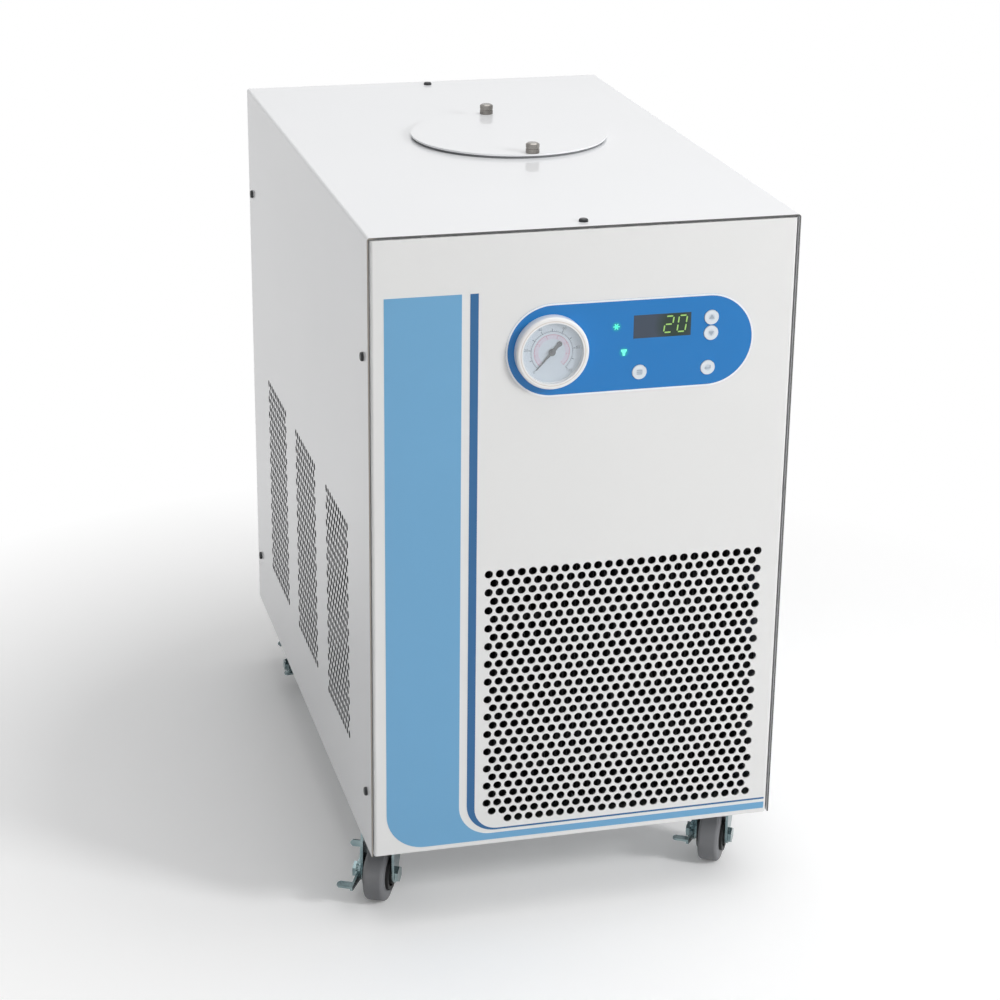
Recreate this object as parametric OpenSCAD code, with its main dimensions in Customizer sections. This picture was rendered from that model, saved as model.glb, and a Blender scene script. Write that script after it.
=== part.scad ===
// Recirculating chiller on four braked casters.
// Millimetres, +Z up, the front faces -Y. The origin is at floor level, in the middle of the whole outline.
// Every module draws from the cabinet's lower left front corner, and place() moves it to the origin.

/* [Cabinet] */
// Width of the cabinet
cabinet_w = 356; // [340:1:420]
// Depth of the cabinet
cabinet_d = 578; // [540:1:660]
// Height of the cabinet without its casters
cabinet_h = 539; // [520:1:620]
// Thickness of the cabinet's sheet metal
sheet_t = 1.2; // [0.8:0.1:2]
// Outer radius of the folds
fold_r = 2.4; // [2:0.1:4]
// Shadow gap between the wrap cover and the front and rear panels
panel_gap = 1.3; // [0.8:0.1:2]
// Depth of the flanges round the front and rear panels
panel_flange = 28; // [26:1:34]
// Thickness of the base pan
pan_t = 1.5; // [1:0.1:2.5]
// Height of the base pan's side flanges
pan_flange = 18; // [12:1:24]

/* [Cover screws] */
// Shank diameter of a cover screw
screw_d = 4; // [3:0.5:5]
// Head diameter of a cover screw
screw_head_d = 7.6; // [6:0.1:9]
// Head height of a cover screw
screw_head_h = 2.4; // [1.5:0.1:3]
// Shank length of a cover screw under its head
screw_len = 9; // [7:0.5:12]
// Distance of the screws from the front or rear face
screw_inset = 19; // [14:1:24]
// Height of the lower side screws
screw_low = 53; // [40:1:60]
// Depth of the upper side screws below the cabinet's top
screw_drop = 101; // [60:1:140]

/* [Front grille] */
// Diameter of a hole of the grille and the vents
hole_d = 7.1; // [6:0.1:7.5]
// Distance between neighbouring holes
hole_pitch = 9.35; // [9:0.05:9.5]
// Holes in a full row of the grille
grille_cols = 26; // [12:1:26]
// Rows of the grille
grille_rows = 29; // [9:2:29]
// Distance of the grille's last hole from the cabinet's right side
grille_right = 22.4; // [18:0.1:26]
// Height of the lowest row of the grille
grille_base = 22.7; // [20:0.1:26]
// Holes left out at the lower left corner of the grille
corner_holes = 2; // [0:1:4]

/* [Side vents] */
// Perforated fields on each side
vent_fields = 3; // [1:1:3]
// Holes in a full row of a vent
vent_cols = 11; // [5:1:11]
// Rows of a vent
vent_rows = 25; // [9:2:25]
// Distance between neighbouring vents
vent_step = 149.6; // [120:0.1:160]
// Height of the lowest row of the vents
vent_base = 70.7; // [60:0.1:100]

/* [Front stripes] */
// Thickness of the coloured film
film_t = 0.15; // [0.1:0.05:0.3]
// Left edge of the wide stripe
wide_left = 13; // [10:0.5:20]
// Width of the wide stripe
wide_w = 62.7; // [50:0.1:63]
// Depth of the stripes' top below the cabinet's top
stripe_drop = 49.5; // [39:0.5:100]
// Height of the lower edge of the wide stripe's foot
foot_base = 4; // [2:0.5:6]
// Height of the wide stripe's foot
foot_h = 6; // [4:0.5:7]
// Radius of the wide stripe's outer corner
wide_outer_r = 33; // [20:1:36]
// Radius of the wide stripe's inner corner
wide_inner_r = 28; // [20:1:30]
// White gap between the wide and the narrow stripe
stripe_gap = 6.8; // [4:0.1:7]
// Width of the narrow stripe
narrow_w = 6.8; // [4:0.1:7]
// White gap between the foot and the line above it
line_gap = 3; // [1:0.1:3.4]
// Thickness of the line that the narrow stripe runs into
line_h = 1.5; // [1:0.1:1.7]
// Radius of the narrow stripe's outer corner
narrow_outer_r = 25; // [20:1:27]
// Radius of the narrow stripe's inner corner
narrow_inner_r = 20; // [16:1:21]

/* [Control panel] */
// Left end of the control overlay
overlay_left = 111.5; // [100:0.5:120]
// Length of the control overlay
overlay_w = 208.5; // [200:0.5:215]
// Height of the control overlay, which has round ends
overlay_h = 78; // [70:0.5:84]
// Depth of the middle of the control overlay below the cabinet's top
overlay_drop = 100.4; // [80:0.1:140]
// Thickness of the control overlay
overlay_t = 0.3; // [0.2:0.05:0.5]
// Place of the display window along the front
window_x = 241.7; // [236:0.1:246]
// Height of the middle of the display window above the middle of the overlay
window_z = 15; // [12:0.5:18]
// Width of the display window
window_w = 48.5; // [40:0.5:54]
// Height of the display window
window_h = 19.4; // [14:0.1:22]
// Diameter of a key
key_d = 12; // [9:0.1:12]
// Height of a key above the overlay
key_proud = 0.6; // [0.4:0.1:1.2]
// Travel of a key
key_travel = 0.5; // [0.3:0.1:0.6]
// Place of the up and down keys along the front
arrow_key_x = 283.3; // [280:0.1:290]
// Height of the up key above the middle of the overlay
up_key_z = 19.2; // [18:0.1:22]
// Distance from the up key down to the down key
arrow_step = 13.1; // [13:0.1:14]
// Place of the enter key along the front
enter_key_x = 281.6; // [278:0.1:290]
// Place of the mode key along the front
mode_key_x = 223.5; // [215:0.1:230]
// Depth of the enter and mode keys below the middle of the overlay
low_key_drop = 23.1; // [20:0.1:25]
// Diameter of a status lamp
lamp_d = 3; // [2:0.1:4]
// Place of the cooling lamp along the front
cool_lamp_x = 203.1; // [198:0.1:206]
// Height of the cooling lamp above the middle of the overlay
cool_lamp_z = 16.2; // [12:0.1:20]
// Place of the level lamp along the front
level_lamp_x = 209.9; // [204:0.1:212]
// Depth of the level lamp below the middle of the overlay
level_lamp_drop = 5.5; // [3:0.1:9]
// Distance from the panel's back to the controller board
board_gap = 9; // [8:0.5:12]
// Thickness of the controller board
board_t = 1.6; // [1:0.1:2]

/* [Pressure gauge] */
// Place of the gauge along the front
gauge_x = 148.5; // [146:0.1:152]
// Outer diameter of the gauge bezel
gauge_d = 60; // [56:0.5:64]
// Width of the bezel ring
bezel_w = 4.8; // [3:0.1:6]
// Height of the bezel in front of the overlay
gauge_proud = 9.2; // [7:0.1:12]
// Diameter of the gauge case behind the bezel
gauge_case_d = 54; // [48:0.5:55]
// Depth of the gauge case behind the panel
gauge_depth = 30; // [22:1:36]
// Length of the pointer from its axis to its tip
pointer_len = 19; // [14:0.5:20]
// Direction of the pointer at zero pressure, anticlockwise from the right
pointer_zero = 228; // [220:1:235]

/* [Reservoir lid] */
// Place of the lid's middle from the right side
lid_right = 158.7; // [152:0.1:176]
// Place of the lid's middle from the front
lid_y = 321; // [300:1:340]
// Diameter of the lid
lid_d = 177; // [170:1:180]
// Thickness of the lid
lid_t = 1.5; // [1:0.1:3]
// Thickness of the gasket under the lid
gasket_t = 2.2; // [0.8:0.1:3]
// Diameter of the filler opening
filler_d = 148; // [120:1:150]
// Distance of the thumbscrews from the lid's middle
thumb_offset = 82; // [80:0.5:82]
// Diameter of a thumbscrew head
thumb_d = 12; // [8:0.5:12]
// Height of a thumbscrew head
thumb_h = 9; // [8:0.5:14]
// Shank diameter of a thumbscrew
thumb_shank_d = 4; // [3:0.5:4.5]

/* [Reservoir] */
// Outer diameter of the reservoir tank
tank_d = 200; // [185:1:206]
// Depth of the reservoir tank
tank_depth = 215; // [200:1:230]
// Wall of the reservoir tank
tank_t = 1.2; // [0.8:0.1:2]
// Diameter of the coil, through the middle of its tube
coil_d = 140; // [120:1:150]
// Outer diameter of the coil's tube
coil_tube_d = 9.5; // [8:0.5:10]
// Whole turns of the coil
coil_turns = 6; // [4:1:7]
// Rise of the coil in one turn
coil_rise = 21; // [18:1:22]
// Height of the coil's inlet above the tank's bottom
coil_base = 34; // [24:1:40]
// Distance of the shelf's legs from the cabinet's sides
shelf_x = 22; // [18:1:26]
// Depth of the shelf
shelf_d = 176; // [160:1:180]
// Thickness of the shelf's sheet
shelf_t = 2; // [1.5:0.1:3]

/* [Condenser and fan] */
// Width of the condenser's finned core
core_w = 234; // [220:1:236]
// Height of the condenser's finned core
core_h = 236; // [220:1:240]
// Depth of the condenser's finned core
core_depth = 44; // [36:1:50]
// Height of the core above the base pan's floor
core_base = 13; // [12:1:18]
// Distance of the core from the front face
core_front = 32; // [31:1:40]
// Distance between neighbouring fins
fin_pitch = 4.9; // [4:0.1:8]
// Thickness of a fin
fin_t = 0.5; // [0.3:0.1:1]
// Diameter of the condenser's tube
core_tube_d = 9.5; // [8:0.5:10]
// Passes of the tube from bottom to top
core_passes = 10; // [4:2:10]
// Depth of the fan shroud
shroud_depth = 26; // [20:1:34]
// Diameter over the fan's blades
fan_d = 200; // [180:1:204]
// Gap between the fan's blades and the shroud's ring
fan_gap = 4; // [3:0.5:6]
// Blades of the fan
fan_blades = 5; // [4:1:7]
// Pitch angle of the blades
blade_pitch = 28; // [20:1:32]
// Diameter of the fan's hub
fan_hub_d = 46; // [36:1:60]
// Diameter of the fan motor
fan_motor_d = 84; // [70:1:90]
// Length of the fan motor
fan_motor_len = 56; // [44:1:64]
// Diameter of the fan's shaft
fan_shaft_d = 8; // [6:0.5:10]

/* [Compressor] */
// Room between the compressor's can and the cabinet's left side
comp_left = 35; // [32:1:50]
// Room between the compressor's can and the pump's motor
comp_gap = 22; // [16:1:40]
// Height of the compressor's can
comp_h = 196; // [170:1:210]
// Place of the compressor from the front
comp_y = 276; // [268:1:284]
// Height of the rubber mounts under the compressor
mount_h = 14; // [10:1:18]
// Outer diameter of the refrigerant lines
line_d = 9.5; // [6:0.5:10]
// Diameter of the filter drier
drier_d = 40; // [30:1:46]
// Length of the filter drier without its necks
drier_len = 90; // [70:1:110]

/* [Pump and plumbing] */
// Diameter of the pump's motor
pump_motor_d = 106; // [90:1:110]
// Diameter of the pump's head
pump_head_d = 84; // [70:1:90]
// Length of the pump's head
pump_head_len = 42; // [34:1:50]
// Place of the pump from the right side
pump_right = 96; // [90:1:104]
// Height of the pump's axis above the base pan's floor
pump_axis_z = 72; // [66:1:80]
// Place of the front of the pump's motor
pump_front = 250; // [246:1:254]
// Room behind the pump for its inlet tube
feed_room = 136; // [120:1:150]
// Outer diameter of the water tubes
water_d = 16; // [12:0.5:18]
// Depth of the two water ports below the cabinet's top
port_drop = 109; // [90:1:140]
// Place of the return port from the left side
return_x = 160; // [150:1:170]
// Inner diameter of the female thread of a water port
port_bore_d = 18.6; // [14:0.1:19]
// Width across the flats of a water port
port_hex = 32; // [28:0.5:36]
// Length of a water port behind the rear panel
port_len = 20; // [16:1:26]

/* [Rear panel] */
// Slots in one row of the rear vent
slot_count = 18; // [8:1:20]
// Width of a slot
slot_w = 6; // [4:0.5:7]
// Length of a slot
slot_len = 60; // [40:1:70]
// Distance between neighbouring slots
slot_pitch = 14; // [12:0.5:15]
// Height of the lowest end of the slots
slot_base = 80; // [60:1:100]
// Place of the power inlet from the left side
inlet_x = 74; // [64:1:84]
// Height of the middle of the power inlet
inlet_z = 300; // [290:1:320]

/* [Casters] */
// Height of a caster from the floor to the base pan
caster_h = 72; // [68:1:80]
// Diameter of a wheel
wheel_d = 50; // [44:1:54]
// Width of a tyre
wheel_w = 18; // [16:0.5:20]
// Diameter of the wheel's core, which stands out of the tyre at both sides
core_d = 30; // [28:0.5:36]
// Distance of the axle from the swivel's axis
trail = 12; // [11:0.5:18]
// Diameter of the axle bolt
axle_d = 8; // [6:0.5:9]
// Thickness of the fork's sheet
fork_t = 2.2; // [1.8:0.1:3]
// Distance of the front swivels from the cabinet's sides
front_inset_x = 24; // [24:0.5:40]
// Distance of the rear swivels from the cabinet's sides
rear_inset_x = 34; // [24:0.5:40]
// Distance of the swivels from the cabinet's front or rear
caster_inset_y = 66.5; // [60:0.5:84]
// Turn of the front left caster at rest
yaw_front_left = 28; // [0:1:40]
// Turn of the front right caster at rest
yaw_front_right = 31; // [0:1:40]
// Turn of the rear left caster at rest
yaw_rear_left = -4; // [-30:1:20]
// Turn of the rear right caster at rest
yaw_rear_right = 20; // [0:1:30]

/* [Caster brake] */
// Thickness of the brake lever
lever_t = 2.2; // [1.6:0.1:3]
// Reach of the lock pedal from the axle
lock_reach = 28; // [24:0.5:32]
// Reach of the release tab from the axle
release_reach = 23; // [20:0.5:25]
// Rise of the lock pedal's arm while the brake is off
lock_rise = 3; // [0:1:12]
// Turn of the front left lever at rest, which is pressed down
press_front_left = 11; // [0:1:12]
// Direction of the release tab's arm, up from the rear, while the brake is off
release_rise = 74; // [60:1:80]
// Length of the lock pedal across the lever
pedal_len = 12.5; // [10:0.5:15]
// Length of the release tab across the lever
tab_len = 10; // [8:0.5:12]
// Width of the lock pedal along the lever
pedal_w = 7.5; // [6:0.5:10]
// Width of the release tab along the lever
tab_w = 6; // [5:0.5:9]

/* [Hidden] */
$fn = 64;

// Clearances between pieces
seat_gap = 0.3;
run_gap = 0.06;
hole_play = 0.25;
eps = 0.5;

// Places and sizes that follow the cabinet's own
screw_high = cabinet_h - screw_drop;
stripe_top = cabinet_h - stripe_drop;
overlay_z = cabinet_h - overlay_drop;
port_z = cabinet_h - port_drop;
lid_x = cabinet_w - lid_right;
shelf_w = cabinet_w - 2 * shelf_x;
comp_d = cabinet_w - pump_right - pump_motor_d / 2 - comp_gap - comp_left;
comp_x = comp_left + comp_d / 2;
pump_motor_len = cabinet_d - feed_room - pump_head_len - pump_front;

// Holes of the grille and the vents
row_pitch = hole_pitch * sin(60);
grille_x = cabinet_w - grille_right - (grille_cols - 1) * hole_pitch;
vent_field_w = (vent_cols - 1) * hole_pitch;

// Front and rear panels
panel_x = sheet_t + panel_gap;
panel_w = cabinet_w - 2 * panel_x;
panel_h = cabinet_h - panel_x;
inner_r = fold_r - sheet_t;

// Base pan
pan_gap = 0.5;
pan_x = panel_x + sheet_t + pan_gap;
pan_y = sheet_t + pan_gap;

// Caster, measured down from the base pan
axle_z = wheel_d / 2 - caster_h;
cap_h = 6;
cap_r = 19;
collar_h = 2.5;
collar_r = 13;
stem_r = 5;
stem_up = 14;
crown_t = 4;
crown_z = -cap_h - seat_gap - crown_t;
retainer_r = 8;
retainer_h = 2.4;
leg_in = wheel_w / 2 + 4;
leg_out = leg_in + fork_t;
lever_in = leg_out + seat_gap;
lever_out = lever_in + lever_t;
cam_h = 2;
cam_r = 9.5;
nut_in = lever_out + cam_h + seat_gap;
nut_h = 3;
nut_flats = 13;
thread_end = 0.8;
pedal_t = 2;
arm_half = 4;

// The caster places: name, x, y, turn, how far the brake is pressed
casters = [
    ["front_left", front_inset_x, caster_inset_y, yaw_front_left, press_front_left],
    ["front_right", cabinet_w - front_inset_x, caster_inset_y, yaw_front_right, 0],
    ["rear_left", rear_inset_x, cabinet_d - caster_inset_y, yaw_rear_left, 0],
    ["rear_right", cabinet_w - rear_inset_x, cabinet_d - caster_inset_y, yaw_rear_right, 0]
];

// Outline of the whole object, for the origin
function pedal_end(drop) = -trail - (lock_reach + pedal_w / 2) * cos(drop) - arm_half * sin(drop);
function turned_x(p, yaw) = p[0] * cos(yaw) + p[1] * sin(yaw);
pedal_edges = [for (c = casters, e = [0, pedal_w])
    c[1] + turned_x([-lever_out - pedal_len, pedal_end(c[4] - lock_rise) + e], c[3])];
reach_left = min(concat([-screw_head_h], pedal_edges));
reach_right = cabinet_w + screw_head_h;
reach_front = -overlay_t - gauge_proud;
reach_rear = cabinet_d + port_len;
frame_x = (reach_left + reach_right) / 2;
frame_y = (reach_front + reach_rear) / 2;

module place() translate([-frame_x, -frame_y, caster_h]) children();

// Turned about X or Y so that a solid drawn up Z runs along Y or X instead
module along_y() rotate([-90, 0, 0]) children();
module along_x() rotate([0, 90, 0]) children();

// A flat shape drawn in X and Z, made thick from y to y + t
module front_plate(y, t) translate([0, y + t, 0]) rotate([90, 0, 0]) linear_extrude(t) children();

module hex(flats, h) cylinder(h = h, d = flats / cos(30), $fn = 6);

// A square whose upper corners are round
module round_top(w, h, r) {
    square([w, h - r]);
    translate([r, 0]) square([w - 2 * r, h]);
    for (x = [r, w - r]) translate([x, h - r]) circle(r);
}

// Half of the section of a can with round edges, for a revolve
module can_section(r, h, edge) {
    translate([0, edge]) square([r, h - 2 * edge]);
    square([r - edge, h]);
    for (z = [edge, h - edge]) translate([r - edge, z]) circle(edge);
}

// Staggered round holes: full rows have cols holes, the rows between them one less
module staggered(cols, rows) {
    for (row = [0 : rows - 1], col = [0 : cols - 1 - row % 2])
        translate([(col + (row % 2) / 2) * hole_pitch, row * row_pitch]) children();
}

// A bent round bar through points, with bends of one radius
function unit(v) = v / norm(v);
module bent_bar(points, d, bend) {
    last = len(points) - 1;
    trims = [for (i = [0 : last])
        i == 0 || i == last ? 0
            : let(a = unit(points[i] - points[i - 1]), b = unit(points[i + 1] - points[i]))
                bend * tan(acos(a * b) / 2)];
    for (i = [0 : last - 1]) {
        run = unit(points[i + 1] - points[i]);
        bar(points[i] + run * trims[i], points[i + 1] - run * trims[i + 1], d);
    }
    for (i = [1 : last - 1]) {
        a = unit(points[i] - points[i - 1]);
        b = unit(points[i + 1] - points[i]);
        n = unit(b - (a * b) * a);
        elbow(points[i] - a * trims[i] + n * bend, -n, a, acos(a * b), d, bend);
    }
}
module bar(from, to, d) {
    run = to - from;
    turn = atan2(run[1], run[0]);
    lean = acos(run[2] / norm(run));
    translate(from) rotate([0, lean, turn]) cylinder(h = norm(run), d = d);
}
module elbow(centre, x_dir, y_dir, angle, d, bend) {
    z_dir = cross(x_dir, y_dir);
    multmatrix([
        [x_dir[0], y_dir[0], z_dir[0], centre[0]],
        [x_dir[1], y_dir[1], z_dir[1], centre[1]],
        [x_dir[2], y_dir[2], z_dir[2], centre[2]],
        [0, 0, 0, 1]
    ]) rotate_extrude(angle = angle) translate([bend, 0]) circle(d = d);
}

// Shell of the cabinet

// Places of the side screws: y, z
side_screws = [for (y = [screw_inset, cabinet_d - screw_inset], z = [screw_low, screw_high]) [y, z]];
top_screws = [for (y = [screw_inset - 4, cabinet_d - screw_inset + 4]) [cabinet_w / 2, y]];

module screw_holes(d) {
    for (s = side_screws)
        translate([-eps, s[0], s[1]]) along_x() cylinder(h = cabinet_w + 2 * eps, d = d);
    for (s = top_screws)
        translate([s[0], s[1], panel_h - 4 * sheet_t]) cylinder(h = 8 * sheet_t, d = d);
}

module side_vents() {
    for (i = [0 : vent_fields - 1])
        translate([-eps, cabinet_d / 2 + (i - (vent_fields - 1) / 2) * vent_step - vent_field_w / 2, vent_base])
            rotate([90, 0, 90]) linear_extrude(cabinet_w + 2 * eps)
                staggered(vent_cols, vent_rows) circle(d = hole_d, $fn = 24);
}

module wrap_cover() color("gainsboro") place() difference() {
    front_plate(0, cabinet_d) difference() {
        round_top(cabinet_w, cabinet_h, fold_r);
        translate([sheet_t, -eps]) round_top(cabinet_w - 2 * sheet_t, cabinet_h - sheet_t + eps, inner_r);
    }
    side_vents();
    screw_holes(screw_d + 2 * hole_play);
    translate([lid_x, lid_y, cabinet_h - 2 * sheet_t]) cylinder(h = 4 * sheet_t, d = filler_d);
    for (side = [-1, 1])
        translate([lid_x, lid_y + side * thumb_offset, cabinet_h - 2 * sheet_t])
            cylinder(h = 4 * sheet_t, d = thumb_shank_d + 2 * run_gap);
}

// A folded tray that stands on its edge, its face at y = 0 and its flanges behind it
module panel_tray() translate([panel_x, 0, 0]) difference() {
    linear_extrude(panel_h) translate([0, panel_flange]) mirror([0, 1]) round_top(panel_w, panel_flange, fold_r);
    translate([sheet_t, sheet_t, -eps]) linear_extrude(panel_h - sheet_t + eps)
        translate([0, panel_flange]) mirror([0, 1]) round_top(panel_w - 2 * sheet_t, panel_flange, inner_r);
}

module grille_holes() translate([grille_x, 0, grille_base])
    front_plate(-eps, 4 * sheet_t) difference() {
        staggered(grille_cols, grille_rows) circle(d = hole_d, $fn = 24);
        translate([-hole_d, -hole_d]) square([hole_d + (corner_holes - 0.5) * hole_pitch, 1.4 * hole_d]);
    }

module front_panel() color("whitesmoke") place() difference() {
    panel_tray();
    grille_holes();
    screw_holes(screw_d + 2 * run_gap);
    front_plate(-eps, 4 * sheet_t) {
        translate([gauge_x, overlay_z]) circle(d = gauge_case_d + 2 * hole_play);
        window_shape(seat_gap);
        for (k = key_places) translate(k) circle(d = key_d + 2 * seat_gap);
        for (l = lamp_places) translate(l) circle(d = lamp_d + 2 * hole_play);
    }
}

module rear_panel() color("whitesmoke") place() difference() {
    translate([0, cabinet_d, 0]) mirror([0, 1, 0]) panel_tray();
    screw_holes(screw_d + 2 * run_gap);
    front_plate(cabinet_d - 3 * sheet_t, 4 * sheet_t) {
        for (row = [0, 1], i = [0 : slot_count - 1])
            translate([cabinet_w / 2 + (i - (slot_count - 1) / 2) * slot_pitch, slot_base + row * slot_len * 1.25])
                slot_shape();
        for (x = [return_x, supply_x]) translate([x, port_z]) circle(d = port_neck_d + 2 * hole_play);
        translate([inlet_x - inlet_w / 2 - hole_play, inlet_z - inlet_h / 2 - hole_play])
            square([inlet_w + 2 * hole_play, inlet_h + 2 * hole_play]);
    }
}

module slot_shape() {
    translate([-slot_w / 2, slot_w / 2]) square([slot_w, slot_len - slot_w]);
    for (z = [slot_w / 2, slot_len - slot_w / 2]) translate([0, z]) circle(d = slot_w);
}

module base_pan() color("silver") place() difference() {
    translate([pan_x, pan_y, 0]) cube([cabinet_w - 2 * pan_x, cabinet_d - 2 * pan_y, pan_flange]);
    translate([pan_x + pan_t, pan_y + pan_t, pan_t])
        cube([cabinet_w - 2 * (pan_x + pan_t), cabinet_d - 2 * (pan_y + pan_t), pan_flange]);
    for (c = casters) translate([c[1], c[2], -eps]) cylinder(h = pan_t + 2 * eps, r = stem_r + hole_play);
}

module cover_screw() {
    rotate_extrude() intersection() {
        translate([0, -screw_head_h]) can_section(screw_head_d / 2, 2 * screw_head_h, screw_head_h * 0.6);
        square([screw_head_d, screw_head_h]);
    }
    translate([0, 0, -screw_len]) cylinder(h = screw_len, d = screw_d);
}

module cover_screws() color("dimgray") place() {
    for (s = side_screws) {
        translate([0, s[0], s[1]]) rotate([0, -90, 0]) cover_screw();
        translate([cabinet_w, s[0], s[1]]) rotate([0, 90, 0]) cover_screw();
    }
    for (s = top_screws) translate([s[0], s[1], cabinet_h]) cover_screw();
}

// Printed stripes on the front

// The region right of x and above z up to the stripes' end and top, with a round lower left corner
module corner_region(x, z, r, over) {
    right = cabinet_w - panel_x - fold_r + over;
    top = stripe_top + over;
    translate([x + r, z]) square([right - x - r, top - z]);
    translate([x, z + r]) square([right - x, top - z - r]);
    translate([x + r, z + r]) circle(r);
}

wide_right = wide_left + wide_w;
narrow_left = wide_right + stripe_gap;
foot_top = foot_base + foot_h;
line_base = foot_top + line_gap;

module wide_stripe() color("skyblue") place() front_plate(-film_t, film_t) difference() {
    corner_region(wide_left, foot_base, wide_outer_r, 0);
    corner_region(wide_right, foot_top, wide_inner_r, eps);
}

module narrow_stripe() color("steelblue") place() front_plate(-film_t, film_t) difference() {
    corner_region(narrow_left, line_base, narrow_outer_r, 0);
    corner_region(narrow_left + narrow_w, line_base + line_h, narrow_inner_r, eps);
}

// Control panel

key_places = [
    [arrow_key_x, overlay_z + up_key_z],
    [arrow_key_x, overlay_z + up_key_z - arrow_step],
    [enter_key_x, overlay_z - low_key_drop],
    [mode_key_x, overlay_z - low_key_drop]
];
lamp_places = [
    [cool_lamp_x, overlay_z + cool_lamp_z],
    [level_lamp_x, overlay_z - level_lamp_drop]
];

module window_shape(play) translate([window_x - window_w / 2 - play, overlay_z + window_z - window_h / 2 - play])
    square([window_w + 2 * play, window_h + 2 * play]);

module control_overlay() color("royalblue") place() front_plate(-overlay_t, overlay_t) difference() {
    end_r = overlay_h / 2;
    union() {
        translate([overlay_left + end_r, overlay_z - end_r]) square([overlay_w - 2 * end_r, overlay_h]);
        for (x = [overlay_left + end_r, overlay_left + overlay_w - end_r]) translate([x, overlay_z]) circle(end_r);
    }
    translate([gauge_x, overlay_z]) circle(d = gauge_case_d + 2 * hole_play);
    window_shape(0);
    for (k = key_places) translate(k) circle(d = key_d + 2 * seat_gap);
    for (l = lamp_places) translate(l) circle(d = lamp_d);
}

// The display's dark window stands in the overlay and reaches back to the board
board_y = sheet_t + board_gap;
lens_t = 2;
module display_lens() color("black") place() {
    front_plate(-overlay_t, lens_t) window_shape(0);
}

display_wall = 2;
switch_h = 3.5;
switch_w = 6;
key_back = sheet_t + seat_gap + 1;
key_foot = board_y - switch_h - key_travel - seat_gap;
board_edge = 8;
module controller_board() color("darkgreen") place() {
    board_left = cool_lamp_x - board_edge;
    board_right = arrow_key_x + key_d / 2 + board_edge;
    board_low = overlay_z - low_key_drop - key_d / 2 - 3;
    board_high = overlay_z + up_key_z + key_d / 2 + 3;
    front_plate(board_y, board_t) translate([board_left, board_low])
        square([board_right - board_left, board_high - board_low]);
    front_plate(lens_t - overlay_t, board_y - lens_t + overlay_t) difference() {
        window_shape(0);
        window_shape(-display_wall);
    }
    for (k = key_places) front_plate(board_y - switch_h, switch_h)
        translate(k - [switch_w, switch_w] / 2) square(switch_w);
    for (x = [board_left + 3, board_right - 3], z = [board_low + 3, board_high - 3])
        translate([x, sheet_t, z]) along_y() hex(4, board_gap);
}

module status_lamps() color("turquoise") place()
    for (l = lamp_places) translate([l[0], -overlay_t, l[1]]) along_y() cylinder(h = board_y + overlay_t, d = lamp_d);

// A round cap through the panel, ears that hold it behind, and a foot towards its switch
module key(i) color("ivory") place() translate([key_places[i][0], 0, key_places[i][1]]) {
    translate([0, -overlay_t - key_proud, 0]) along_y()
        cylinder(h = overlay_t + key_proud + key_back, d = key_d);
    ear_w = key_d + 5;
    ear_h = 4;
    translate([-ear_w / 2, sheet_t + seat_gap, -ear_h / 2]) cube([ear_w, key_back - sheet_t - seat_gap, ear_h]);
    translate([0, key_back, 0]) along_y() cylinder(h = key_foot - key_back, d = 4);
}
module up_key() key(0);
module down_key() key(1);
module enter_key() key(2);
module mode_key() key(3);

// Pressure gauge

bezel_r = gauge_d / 2;
sight_r = bezel_r - bezel_w;
bezel_edge = 2;
dial_drop = 5;
dial_t = 0.8;
glass_t = 1.5;
glass_drop = 1.8;
gauge_front = -overlay_t - gauge_proud;
pivot_r = 1;
module at_gauge() place() translate([gauge_x, 0, overlay_z]) children();

module gauge_case() color("linen") at_gauge() {
    translate([0, gauge_front, 0]) along_y() rotate_extrude() difference() {
        union() {
            translate([0, bezel_edge]) square([bezel_r, gauge_proud - bezel_edge]);
            square([bezel_r - bezel_edge, gauge_proud]);
            translate([bezel_r - bezel_edge, bezel_edge]) circle(bezel_edge);
            square([gauge_case_d / 2, gauge_proud + overlay_t + sheet_t + gauge_depth]);
        }
        translate([0, -eps]) square([sight_r, eps + dial_drop + dial_t]);
        square([pivot_r + run_gap, dial_drop + dial_t + 8]);
    }
    translate([0, sheet_t + gauge_depth, 0]) along_y() {
        hex(14, 12);
        cylinder(h = 26, d = 10);
    }
}

module gauge_dial() color("lightsteelblue") at_gauge()
    translate([0, gauge_front + dial_drop, 0]) along_y() difference() {
        cylinder(h = dial_t, r = sight_r);
        translate([0, 0, -eps]) cylinder(h = dial_t + 2 * eps, r = pivot_r + run_gap);
    }

module gauge_pointer() color("black") at_gauge()
    translate([0, gauge_front + dial_drop, 0]) {
        front_plate(-1.1, 0.6) rotate(pointer_zero) {
            polygon([[0, -1.1], [pointer_len, -0.25], [pointer_len, 0.25], [0, 1.1]]);
            translate([-9, -1.4]) square([9, 2.8]);
            translate([-9, 0]) circle(2.2);
            circle(3);
        }
        translate([0, -1.6, 0]) along_y() cylinder(h = 8, r = pivot_r);
        translate([0, -2.2, 0]) along_y() cylinder(h = 1.2, r = 2);
    }

module gauge_lens() color("white", 0.3) at_gauge()
    translate([0, gauge_front + glass_drop - glass_t, 0]) along_y() cylinder(h = glass_t, r = sight_r);

// Reservoir lid

module thumb_holes(z, h, d) for (side = [-1, 1])
    translate([lid_x, lid_y + side * thumb_offset, z]) cylinder(h = h, d = d);

gasket_d = lid_d - 3;
lid_z = cabinet_h + gasket_t;
module reservoir_lid() color("whitesmoke") place() difference() {
    translate([lid_x, lid_y, lid_z]) cylinder(h = lid_t, d = lid_d);
    thumb_holes(lid_z - eps, lid_t + 2 * eps, thumb_shank_d + 2 * run_gap);
}

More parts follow.
